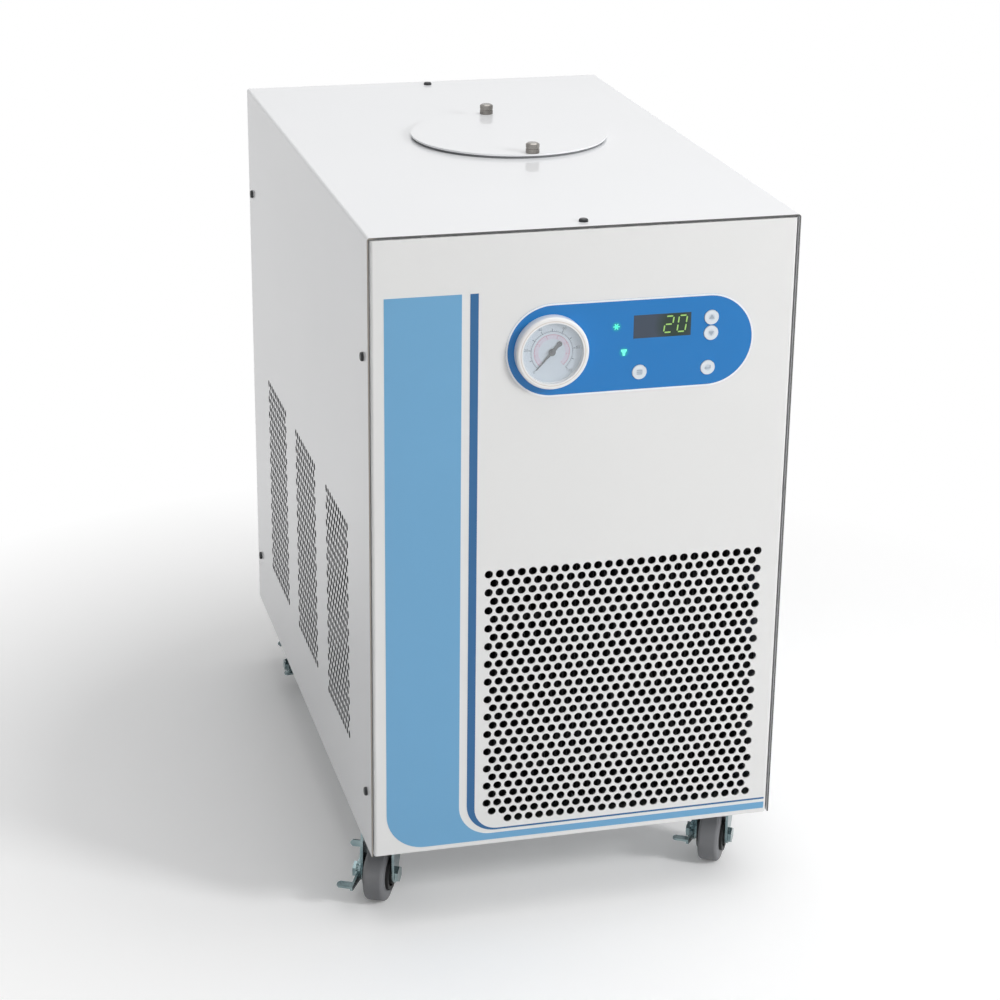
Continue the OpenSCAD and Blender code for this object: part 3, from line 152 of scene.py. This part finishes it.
class Graph(Tree):
    """A material with one Principled shader."""

    def __init__(self, name, **values):
        self.material = bpy.data.materials.new(name)
        self.material.use_nodes = True
        super().__init__(self.material.node_tree)
        self.shader = self.tree.nodes["Principled BSDF"]
        self.places = self.add("ShaderNodeTexCoord").outputs["Object"]
        for socket, value in values.items():
            self.shader.inputs[socket.replace("_", " ")].default_value = value

    def step(self, value, low, high):
        """A factor from 0 at low to 1 at high, which may be the smaller of the two."""
        node = self.add("ShaderNodeMapRange", {"Value": value, "From Min": low, "From Max": high})
        return node.outputs["Result"]

    def spread(self, value, low, high):
        """The middle of a noise's range, from 0.3 to 0.7, spread from low to high."""
        node = self.add("ShaderNodeMapRange", {"Value": value, "From Min": 0.3, "From Max": 0.7,
                                               "To Min": low, "To Max": high})
        return node.outputs["Result"]

    def noise(self, scale, detail=3.0, stretch=(1.0, 1.0, 1.0)):
        mapping = self.add("ShaderNodeMapping", {"Vector": self.places, "Scale": stretch})
        node = self.add("ShaderNodeTexNoise", {"Vector": mapping.outputs[0], "Scale": scale,
                                               "Detail": detail})
        return node.outputs["Fac"]

    def mix(self, factor, a, b):
        node = self.add("ShaderNodeMix", data_type="RGBA")
        self.link(factor, node.inputs["Factor"])
        self.link(a, node.inputs[6])
        self.link(b, node.inputs[7])
        return node.outputs[2]

    def axis(self, name):
        return self.add("ShaderNodeSeparateXYZ", {0: self.places}).outputs[name]

    def along(self, name, low, high):
        """A step along an axis, between two distances from the corner in millimetres."""
        start = getattr(CORNER, name.lower())
        return self.step(self.axis(name), start + low * MM, start + high * MM)

    def centred(self, centre, inner, outer):
        """1 within the inner radius of a point in X and Z, falling to 0 at the outer radius."""
        middle = place(centre[0], 0.0, centre[1])
        dx = self.math("SUBTRACT", self.axis("X"), middle.x)
        dz = self.math("SUBTRACT", self.axis("Z"), middle.z)
        squares = self.math("ADD", self.product(dx, dx), self.product(dz, dz))
        return self.step(self.math("SQRT", squares), outer * MM, inner * MM)

    def colour(self, value):
        self.link(value, self.shader.inputs["Base Color"])

    def cover(self, factor, colour):
        """Lay another colour over the base colour, which has to be linked already."""
        base = self.shader.inputs["Base Color"].links[0].from_socket
        self.colour(self.mix(factor, base, colour))

    def roughness(self, value):
        self.link(value, self.shader.inputs["Roughness"])

    def bump(self, height, strength, distance):
        node = self.add("ShaderNodeBump", {"Height": height, "Strength": strength,
                                           "Distance": distance})
        self.link(node.outputs[0], self.shader.inputs["Normal"])


def coated(name, colour, rough, grain=900.0, relief=0.15, vary=0.05, drift=0.12, **values):
    """Paint or plastic: a fine orange peel, and a slow drift of tone and gloss."""
    g = Graph(name, **values)
    tone = g.spread(g.noise(9.0, detail=4.0), 0.0, 1.0)
    g.colour(g.mix(tone, shade(colour, 1 - vary), shade(colour, 1 + vary)))
    gloss = g.noise(22.0, detail=2.0)
    g.roughness(g.spread(gloss, rough * (1 - drift), rough * (1 + drift)))
    g.bump(g.noise(grain, detail=2.0), relief, distance=0.00006)
    return g


def enamel(name, colour):
    """Smooth sprayed paint on sheet metal: an even tone, a faint ripple and a clear gloss."""
    g = Graph(name, Coat_Weight=0.6, Coat_Roughness=0.045, Coat_IOR=1.5, Specular_IOR_Level=0.2)
    tone = g.spread(g.noise(5.0, detail=2.0), 0.0, 1.0)
    g.colour(g.mix(tone, shade(colour, 0.992), shade(colour, 1.008)))
    g.roughness(g.spread(g.noise(6.0, detail=2.0), 0.37, 0.41))
    g.bump(g.noise(520.0, detail=1.0), 0.25, distance=0.000006)
    return g


def plated(name, colour, tint, rough, stretch=(1.0, 1.0, 1.0), relief=0.2, grain=500.0):
    """Bare or plated metal with cloudy patches of a second tint and a drawn grain."""
    g = Graph(name, Metallic=1.0)
    drawn = g.noise(grain, 4.0, stretch)
    cloudy = g.mix(g.spread(g.noise(70.0, detail=6.0), 0.0, 1.0), colour, tint)
    g.colour(g.mix(g.spread(drawn, 0.0, 0.35), cloudy, shade(colour, 0.72)))
    g.roughness(g.spread(drawn, rough * 0.75, rough * 1.3))
    g.bump(drawn, relief, distance=0.00008)
    return g


def film(name, colour):
    return coated(name, colour, 0.34, grain=1400.0, relief=0.02, vary=0.012, drift=0.05,
                  Coat_Weight=0.2, Coat_Roughness=0.15)


def dusty(g, scale, detail, low, high, amount, dust):
    """Patches of dust where a noise lies above low, at their full amount above high."""
    patches = g.step(g.noise(scale, detail), low, high)
    g.cover(g.product(patches, amount), dust)
    return g


def cover_material():
    """White paint, with a dark front edge that is partly raw metal and partly painted shade of the
    gap to the panel, and the cut walls in the holes of the side vents painted dark as shade in the
    holes.
    """
    g = enamel("cover_paint", WHITE)
    # Dark front edge: partly raw metal, partly painted shade of the gap to the front panel,
    # lighter at the left
    g.cover(g.along("Y", 0.22, 0.18), g.mix(g.along("X", 9.0, 4.0), EDGE_RAW_AND_SHADE, EDGE_RAW_AND_SHADE_LEFT))
    left_depth = g.math("SUBTRACT", g.axis("X"), CORNER.x)
    right_depth = g.math("SUBTRACT", CORNER.x + CABINET_W * MM, g.axis("X"))
    depth = g.math("MINIMUM", left_depth, right_depth)
    within_sheet = g.product(g.step(depth, 0.05 * MM, 0.15 * MM),
                             g.step(depth, 1.18 * MM, 1.10 * MM))
    below_top = g.along("Z", 402.0, 400.0)
    between_ends = g.product(g.along("Y", 30.0, 32.0), g.along("Y", 562.0, 560.0))
    # Painted shade: the cut walls of the side vents' holes are made dark grey
    g.cover(g.product(within_sheet, below_top, between_ends), CUT_WALL_SHADE)
    return g


def key_material(name, centre):
    """A pale membrane key, a little darker round its symbol."""
    g = coated(name, rgb(232, 238, 244), 0.4, relief=0.03, vary=0.01, drift=0.05)
    g.cover(g.centred(centre, 1.6, 3.2), rgb(202, 213, 224))
    return g


def display_material():
    """A smoked window, darker and greener round the lit digits."""
    g = coated("window_dark", rgb(62, 74, 90), 0.2, grain=1200.0, relief=0.02, vary=0.04,
               drift=0.05)
    g.cover(g.centred(DIGITS_MIDDLE, 9.0, 19.0), rgb(34, 58, 46))
    return g


def bezel_material():
    """Cream plastic with a thin tan line run round the rim."""
    g = coated("bezel_cream", rgb(247, 246, 245), 0.28, relief=0.03, vary=0.008, drift=0.05,
               Coat_Weight=0.4)
    line = g.math("SUBTRACT", g.centred(GAUGE, 26.95, 27.2), g.centred(GAUGE, 26.2, 26.5),
                  clamp=True)
    g.cover(g.product(line, 0.5), rgb(196, 178, 160))
    return g


def board_material():
    """Green solder mask with the pale lines of its tracks."""
    g = coated("board_green", rgb(20, 88, 52), 0.4, grain=300.0, relief=0.3, vary=0.1)
    tracks = g.add("ShaderNodeTexBrick", {"Vector": g.places, "Scale": 260.0,
                                          "Mortar Size": 0.04, "Color1": rgb(18, 80, 46),
                                          "Color2": rgb(24, 96, 58), "Mortar": rgb(60, 132, 84)})
    g.colour(tracks.outputs["Color"])
    return g


def glass_material():
    """Clear glass, thin enough to let light through to the dial."""
    g = Graph("gauge_glass", Alpha=0.14, IOR=1.5)
    g.colour(g.mix(g.noise(30.0), (0.97, 0.99, 1.0, 1.0), (0.93, 0.97, 0.98, 1.0)))
    g.roughness(g.spread(g.noise(200.0), 0.01, 0.04))
    return g


def halo_material(name, centre):
    """Light that bleeds from a lamp into the blue film round its mark."""
    g = coated(name, OVERLAY_BLUE, 0.34, relief=0.02, vary=0.01, drift=0.05)
    g.cover(g.centred(centre, 1.2, HALO_R), rgb(34, 150, 150))
    g.link(g.centred(centre, 0.8, HALO_R), g.shader.inputs["Emission Strength"])
    g.link(rgb(20, 120, 110), g.shader.inputs["Emission Color"])
    return g


def glowing(name, colour, strength):
    g = coated(name, colour, 0.3, relief=0.05)
    tone = g.spread(g.noise(400.0), 0.0, 1.0)
    g.link(g.mix(tone, shade(colour, 0.9), shade(colour, 1.1)), g.shader.inputs["Emission Color"])
    g.link(strength, g.shader.inputs["Emission Strength"])
    return g


looks = {
    "cover": cover_material(),
    "panel": enamel("panel_paint", rgb(240, 240, 239)),
    "lid": enamel("lid_paint", WHITE),
    "pan": plated("pan_zinc", PAN, PAN_TINT, 0.42, stretch=(1.0, 0.05, 1.0)),
    "screw": coated("screw_black", rgb(52, 53, 55), 0.38, relief=0.3, vary=0.15, Metallic=0.5),
    "wide": film("film_light_blue", rgb(112, 173, 215)),
    "narrow": film("film_dark_blue", rgb(36, 102, 156)),
    "overlay": film("overlay_blue", OVERLAY_BLUE),
    "display": display_material(),
    "board": board_material(),
    "lamp": glowing("lamp_green", rgb(90, 220, 190), 0.6),
    "bezel": bezel_material(),
    "dial": coated("dial_face", rgb(208, 220, 232), 0.5, relief=0.03, vary=0.01, drift=0.05),
    "pointer": coated("pointer_black", rgb(38, 46, 54), 0.4, relief=0.1, vary=0.1),
    "glass": glass_material(),
    "gasket": coated("gasket_rubber", rgb(118, 120, 122), 0.7, grain=600.0, relief=0.4, vary=0.15),
    "thumb": plated("thumbscrew_nickel", NICKEL, NICKEL_TINT, 0.2),
    "steel": plated("tank_steel", STEEL, STEEL_TINT, 0.30, stretch=(1.0, 1.0, 0.04)),
    "copper": plated("copper_tube", COPPER, COPPER_TINT, 0.30),
    "condenser": dusty(coated("condenser_black", rgb(38, 39, 41), 0.55, grain=260.0, relief=0.5,
                              vary=0.18),
                       scale=24.0, detail=7.0, low=0.56, high=0.8, amount=0.3,
                       dust=rgb(92, 90, 86)),
    "shroud": coated("shroud_black", rgb(34, 35, 37), 0.5, relief=0.3, vary=0.12),
    "rotor": coated("rotor_grey", rgb(84, 88, 94), 0.4, relief=0.2, vary=0.1, Metallic=0.6),
    "motor": coated("motor_grey", rgb(62, 64, 67), 0.42, grain=300.0, relief=0.4, vary=0.1),
    "compressor": coated("compressor_black", rgb(20, 20, 22), 0.24, relief=0.3, vary=0.2,
                         Coat_Weight=0.4),
    "pump": coated("pump_blue", rgb(52, 86, 128), 0.4, grain=280.0, relief=0.4, vary=0.1),
    "hose": coated("hose_grey", rgb(150, 152, 154), 0.55, grain=500.0, relief=0.4, vary=0.08),
    "brass": plated("port_brass", BRASS, BRASS_TINT, 0.28),
    "inlet": coated("inlet_black", rgb(26, 26, 28), 0.36, grain=700.0, relief=0.3, vary=0.1),
    "rocker": coated("rocker_black", rgb(36, 36, 38), 0.26, relief=0.1, vary=0.1),
    "zinc": plated("caster_zinc", ZINC, ZINC_TINT, 0.2, relief=0.05, grain=300.0),
    "core": coated("wheel_core_black", rgb(9, 9, 10), 0.5, relief=0.2, vary=0.15),
    "tyre": dusty(coated("tyre_rubber", rgb(126, 127, 130), 0.62, grain=700.0, relief=0.35,
                         vary=0.08),
                  scale=45.0, detail=6.0, low=0.52, high=0.75, amount=0.25,
                  dust=rgb(160, 158, 154)),
}

dressed = {
    "wrap_cover": "cover", "front_panel": "panel", "rear_panel": "panel", "base_pan": "pan",
    "cover_screws": "screw", "wide_stripe": "wide", "narrow_stripe": "narrow",
    "control_overlay": "overlay", "display_lens": "display", "controller_board": "board",
    "status_lamps": "lamp", "gauge_case": "bezel", "gauge_dial": "dial",
    "gauge_pointer": "pointer", "gauge_lens": "glass", "reservoir_lid": "lid",
    "lid_gasket": "gasket", "front_thumbscrew": "thumb", "rear_thumbscrew": "thumb",
    "reservoir_tank": "steel", "evaporator_coil": "copper", "tank_shelf": "pan",
    "condenser": "condenser", "fan_shroud": "shroud", "fan_rotor": "rotor", "fan_motor": "motor",
    "compressor": "compressor", "filter_drier": "copper", "discharge_line": "copper",
    "liquid_line": "copper", "capillary_line": "copper", "suction_line": "copper",
    "circulation_pump": "pump", "pump_feed_tube": "hose", "supply_tube": "hose",
    "supply_port": "brass", "return_port": "brass", "power_inlet": "inlet",
    "power_rocker": "rocker", "caster_stems": "zinc",
}
for name, centre in KEYS.items():
    looks[name] = key_material(name + "_key_cap", centre)
    dressed[name + "_key"] = name
for corner in ("front_left", "front_right", "rear_left", "rear_right"):
    dressed.update({corner + "_fork": "zinc", corner + "_wheel": "core",
                    corner + "_tyre": "tyre", corner + "_brake": "zinc"})

for name, look in dressed.items():
    data = nodes[name].data
    data.materials.clear()
    data.materials.append(looks[look].material)


# Thin plates; an outline is a list of (x, z) in millimetres, and angles are in degrees

def plate(name, outlines, y, thick, look, body):
    """One piece of closed outlines, made thick forwards from y."""
    vertices = []
    faces = []
    for outline in outlines:
        following = outline[1:] + outline[:1]
        if sum(ax * bz - bx * az for (ax, az), (bx, bz) in zip(outline, following)) > 0:
            outline = outline[::-1]
        start = len(vertices)
        count = len(outline)
        vertices += [place(x, y, z) for x, z in outline]
        vertices += [place(x, y - thick, z) for x, z in outline]
        faces.append(list(range(start, start + count)))
        faces.append(list(range(start + 2 * count - 1, start + count - 1, -1)))
        for i in range(count):
            j = (i + 1) % count
            faces.append((start + i, start + count + i, start + count + j, start + j))
    mesh = bpy.data.meshes.new(name)
    mesh.from_pydata([tuple(v) for v in vertices], [], faces)
    mesh.update()
    piece = bpy.data.objects.new(name, mesh)
    bpy.context.scene.collection.objects.link(piece)
    mesh.materials.append(look.material)
    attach(piece, body)


def arc(centre, radius, start, end, parts):
    angles = [math.radians(start + (end - start) * i / parts) for i in range(parts + 1)]
    return [(centre[0] + radius * math.cos(a), centre[1] + radius * math.sin(a)) for a in angles]


def ring_sector(centre, inner, outer, start, end, parts):
    """Four-sided outlines that together make part of a ring."""
    near = arc(centre, inner, start, end, parts)
    far = arc(centre, outer, start, end, parts)
    return [[near[i], far[i], far[i + 1], near[i + 1]] for i in range(parts)]


def bar(left, low, right, high):
    return [(left, low), (right, low), (right, high), (left, high)]


def tick(centre, inner, outer, angle, width):
    """A narrow bar along a radius."""
    a = math.radians(angle)
    along = (math.cos(a), math.sin(a))
    across = (-math.sin(a) * width / 2, math.cos(a) * width / 2)
    return [(centre[0] + along[0] * r + across[0] * s, centre[1] + along[1] * r + across[1] * s)
            for r, s in ((inner, 1), (outer, 1), (outer, -1), (inner, -1))]


def moved(centre, outline):
    return [(centre[0] + x, centre[1] + z) for x, z in outline]


# The grille's lower left corner

HOLE_R = 3.55
SHEET_T = 1.2
LEFT_OUT_HOLES = ((99.85, 22.7), (109.2, 22.7))
SLIT_ARC = (53.13, 126.87)

# The solid panel has a slit at the top of each of these two holes, and a plug fills it
slits = [arc(hole, HOLE_R, *SLIT_ARC, 16) for hole in LEFT_OUT_HOLES]
plate("grille_corner_plugs", slits, SHEET_T, SHEET_T, looks["panel"], "cabinet")


# Prints on the control overlay

OVERLAY_Y = -0.3
PRINT_T = 0.04
PRINT_GAP = 0.02
FILM_T = 0.01
OVERLAY_LEFT = 111.5
OVERLAY_W = 208.5
OVERLAY_H = 78.0
OVERLAY_Z = 438.6
BORDER_W = 1.5
DIGIT_Z = 447.5
DIGIT_W = 6.8
DIGIT_H = 13.4
DIGIT_STROKE = 1.1
DIGIT_SLANT = 0.13
TWO_LEFT = 242.9
ZERO_LEFT = 254.2
FUNNEL = ((-2.5, 2.4), (-2.5, 1.1), (-1.2, -0.7), (-1.0, -3.0),
          (1.0, -3.0), (1.2, -0.7), (2.5, 1.1), (2.5, 2.4))

white_print = coated("print_white", rgb(250, 252, 255), 0.4, relief=0.03, vary=0.005)
grey_print = coated("print_grey", rgb(172, 184, 197), 0.5, relief=0.08)
dark_print = coated("print_dark", rgb(82, 98, 118), 0.5, relief=0.08, vary=0.08)
pink_print = coated("print_pink", rgb(198, 112, 142), 0.5, relief=0.08)
digit_glow = glowing("digit_green", rgb(146, 190, 104), 0.45)
lamp_glow = glowing("lamp_glow", rgb(104, 232, 208), 0.5)
pink_band = coated("print_pink_band", rgb(212, 206, 224), 0.5, relief=0.03, vary=0.01)


def overlay_border():
    """The outlines of the pale line round the blue overlay."""
    outer = OVERLAY_H / 2
    inner = outer - BORDER_W
    left = OVERLAY_LEFT + outer
    right = OVERLAY_LEFT + OVERLAY_W - outer
    return (ring_sector((left, OVERLAY_Z), inner, outer, 90, 270, 40)
            + ring_sector((right, OVERLAY_Z), inner, outer, -90, 90, 40)
            + [bar(left, OVERLAY_Z - outer, right, OVERLAY_Z - inner),
               bar(left, OVERLAY_Z + inner, right, OVERLAY_Z + outer)])


def segment_digit(lit, left):
    """The lit bars of a seven-segment digit, with pointed ends."""
    half = DIGIT_H / 2
    lines = {"a": ((0, DIGIT_H), (DIGIT_W, DIGIT_H)), "b": ((DIGIT_W, DIGIT_H), (DIGIT_W, half)),
             "c": ((DIGIT_W, half), (DIGIT_W, 0)), "d": ((0, 0), (DIGIT_W, 0)),
             "e": ((0, 0), (0, half)), "f": ((0, half), (0, DIGIT_H)),
             "g": ((0, half), (DIGIT_W, half))}
    gap = DIGIT_STROKE * 0.62
    h = DIGIT_STROKE / 2
    bars = []
    for letter in lit:
        (ax, az), (bx, bz) = lines[letter]
        length = math.hypot(bx - ax, bz - az)
        ux, uz = (bx - ax) / length, (bz - az) / length
        points = [(gap, 0), (gap + h, h), (length - gap - h, h), (length - gap, 0),
                  (length - gap - h, -h), (gap + h, -h)]
        upright = [(ax + ux * u - uz * v, az + uz * u + ux * v) for u, v in points]
        bars.append([(left + x + z * DIGIT_SLANT, DIGIT_Z + z) for x, z in upright])
    return bars


def overlay_print(name, outlines, look):
    plate(name, outlines, OVERLAY_Y - PRINT_GAP, PRINT_T, look, "cabinet")


overlay_print("overlay_border", overlay_border(), white_print)
digits = segment_digit("abged", TWO_LEFT) + segment_digit("abcdef", ZERO_LEFT)
overlay_print("display_digits", digits, digit_glow)
for name, centre in (("cooling", COOL), ("level", LEVEL)):
    plate(name + "_halo", [arc(centre, HALO_R, 0, 345, 23)], OVERLAY_Y - FILM_T, FILM_T,
          halo_material(name + "_halo_film", centre), "cabinet")
flake = [tick(COOL, -2.7, 2.7, angle, 0.8) for angle in (0, 60, 120)]
flake += [tick(COOL, 0.0, 1.3, angle + 30, 1.0) for angle in range(0, 360, 60)]
overlay_print("cooling_mark", flake, lamp_glow)
overlay_print("level_mark", [moved(LEVEL, FUNNEL)], lamp_glow)


# Symbols on the keys

KEY_Y = -0.9
KEY_MARKS = {
    "up": [[(-2.4, -1.2), (2.4, -1.2), (0.0, 2.4)]],
    "down": [[(-2.4, 1.2), (2.4, 1.2), (0.0, -2.4)]],
    "enter": [bar(-1.2, -0.9, 2.4, -0.1), bar(1.6, -0.1, 2.4, 2.0),
              [(-3.0, -0.5), (-1.2, -2.0), (-1.2, 1.0)]],
    "mode": [bar(-2.4, low, 2.4, low + 0.7) for low in (-1.9, -0.35, 1.2)],
}

for name, outlines in KEY_MARKS.items():
    plate(name + "_key_mark", [moved(KEYS[name], outline) for outline in outlines],
          KEY_Y - PRINT_GAP, PRINT_T, grey_print, name + "_key_cap")


# Prints on the gauge's dial

DIAL_Y = -4.5
SCALE_START = 228.0
SCALE_SWEEP = 276.0
BAND = (11.0, 14.5)
OUTER_SCALE = {"line": (17.0, 17.35), "long": (17.2, 19.6, 0.65), "short": (17.2, 18.3, 0.25),
               "marks": 50}
INNER_SCALE = {"line": (14.5, 14.85), "long": (13.3, 14.6, 0.5), "short": (13.8, 14.6, 0.25),
               "marks": 35}


def scale_angle(i, count):
    return SCALE_START - SCALE_SWEEP * i / count


def dial_ring(inner, outer):
    return ring_sector(GAUGE, inner, outer, SCALE_START - SCALE_SWEEP, SCALE_START, 60)


def dial_scale(scale):
    """A scale's line with its marks, of which every fifth is long."""
    outlines = dial_ring(*scale["line"])
    for i in range(scale["marks"] + 1):
        inner, outer, width = scale["short" if i % 5 else "long"]
        outlines.append(tick(GAUGE, inner, outer, scale_angle(i, scale["marks"]), width))
    return outlines


def dial_numbers(group, radius, size, numbers, look):
    """Plain numbers along a scale."""
    for i, number in enumerate(numbers):
        angle = math.radians(scale_angle(i, len(numbers) - 1))
        curve = bpy.data.curves.new(f"dial_number_{group}_{i}", "FONT")
        curve.body = str(number)
        curve.size = size * MM
        curve.align_x = "CENTER"
        curve.align_y = "CENTER"
        curve.extrude = PRINT_T * MM / 2
        curve.resolution_u = 3
        curve.materials.append(look.material)
        text = bpy.data.objects.new(curve.name, curve)
        bpy.context.scene.collection.objects.link(text)
        text.location = place(GAUGE[0] + radius * math.cos(angle), DIAL_Y - PRINT_T,
                              GAUGE[1] + radius * math.sin(angle))
        text.rotation_euler = (math.pi / 2, 0, 0)
        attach(text, "cabinet")


plate("dial_outer_scale", dial_scale(OUTER_SCALE), DIAL_Y - PRINT_GAP, PRINT_T, dark_print,
      "cabinet")
plate("dial_band", dial_ring(*BAND), DIAL_Y - FILM_T, FILM_T, pink_band, "cabinet")
plate("dial_inner_scale", dial_scale(INNER_SCALE), DIAL_Y - PRINT_GAP, PRINT_T, pink_print,
      "cabinet")
dial_numbers("outer", 21.6, 3.3, range(0, 101, 20), dark_print)
dial_numbers("inner", 12.1, 2.4, range(8), pink_print)


# Floor, backdrop and light, in metres

FLOOR_SIZE = 16.0
FLOOR_LIFT = 0.1
FLOOR_FADE = (0.40, 0.80)
SKY_LEFT = 0.2
SKY_RIGHT = 0.56


def floor():
    """White paper that shows the object's shadow near it and is plain white farther off."""
    bpy.ops.mesh.primitive_plane_add(size=FLOOR_SIZE, location=(0.0, 0.0, 0.0))
    plane = bpy.context.object
    plane.name = "studio_floor"
    g = Graph("studio_floor", Roughness=0.6, Specular_IOR_Level=0.0, Emission_Color=WHITE_LIGHT)
    seen = g.seen()
    paper = g.mix(g.spread(g.noise(3.0), 0.0, 1.0), (0.83, 0.83, 0.83, 1.0),
                  (0.85, 0.85, 0.85, 1.0))
    g.colour(g.mix(seen, paper, WHITE_LIGHT))
    g.link(g.product(seen, FLOOR_LIFT), g.shader.inputs["Emission Strength"])
    away = g.add("ShaderNodeVectorMath", {0: g.places}, operation="LENGTH").outputs["Value"]
    glow = g.add("ShaderNodeEmission", {"Color": WHITE_LIGHT, "Strength": 1.0})
    g.blend(g.product(g.step(away, *FLOOR_FADE), seen), g.shader, glow, "Material Output")
    plane.data.materials.append(g.material)


def softbox(name, location, target, size, power, mirrored=True):
    lamp = bpy.data.lights.new(name, "AREA")
    lamp.shape = "RECTANGLE"
    lamp.size, lamp.size_y = size
    lamp.energy = power
    holder = bpy.data.objects.new(name, lamp)
    holder.location = location
    holder.visible_camera = False
    holder.visible_glossy = mirrored
    aim = Vector(target) - Vector(location)
    holder.rotation_euler = aim.to_track_quat("-Z", "Y").to_euler()
    bpy.context.scene.collection.objects.link(holder)


def world():
    """White for the camera and in reflections; the light on the object is dimmer at its left."""
    sky = bpy.data.worlds.new("studio")
    sky.use_nodes = True
    g = Tree(sky.node_tree)
    direction = g.add("ShaderNodeTexCoord").outputs["Generated"]
    across = g.add("ShaderNodeSeparateXYZ", {0: direction}).outputs["X"]
    strength = g.add("ShaderNodeMapRange", {"Value": across, "From Min": -1.0,
                                            "To Min": SKY_LEFT, "To Max": SKY_RIGHT})
    light = g.tree.nodes["Background"]
    g.link(WHITE_LIGHT, light.inputs["Color"])
    g.link(strength.outputs["Result"], light.inputs["Strength"])
    white = g.add("ShaderNodeBackground", {"Color": WHITE_LIGHT})
    g.blend(g.seen(), light, white, "World Output")
    bpy.context.scene.world = sky


floor()
softbox("overhead", location=(0.3, -0.2, 2.6), target=(0.0, 0.0, 0.3), size=(2.2, 2.2), power=22.5)
softbox("key", location=(1.7, -1.85, 1.45), target=(0.0, 0.0, 0.3), size=(0.55, 0.55), power=30.0,
        mirrored=False)
softbox("left_rear", location=(-2.3, 1.6, 0.3), target=(0.0, 0.2, 0.3), size=(1.2, 0.8), power=4.0)
world()


# Camera, at the photo's angle

CAMERA = (-371.3, -1814.6, 1033.4)
AZIMUTH = math.radians(14.81)
ELEVATION = math.radians(20.96)
ROLL = math.radians(0.69)
FOCAL_PIXELS = 2477.0
IMAGE_PIXELS = 1000.0
SENSOR = 36.0


def camera():
    forward = Vector((math.sin(AZIMUTH) * math.cos(ELEVATION),
                      math.cos(AZIMUTH) * math.cos(ELEVATION), -math.sin(ELEVATION)))
    level = Vector((math.cos(AZIMUTH), -math.sin(AZIMUTH), 0.0))
    upright = level.cross(forward)
    right = math.cos(ROLL) * level + math.sin(ROLL) * upright
    up = -math.sin(ROLL) * level + math.cos(ROLL) * upright
    data = bpy.data.cameras.new("photo_camera")
    data.sensor_width = SENSOR
    data.lens = FOCAL_PIXELS / IMAGE_PIXELS * SENSOR
    holder = bpy.data.objects.new("photo_camera", data)
    turn = Matrix((right, up, -forward)).transposed().to_4x4()
    holder.matrix_world = Matrix.Translation(place(*CAMERA)) @ turn
    bpy.context.scene.collection.objects.link(holder)
    bpy.context.scene.camera = holder


camera()
bpy.context.scene.view_settings.view_transform = "Standard"
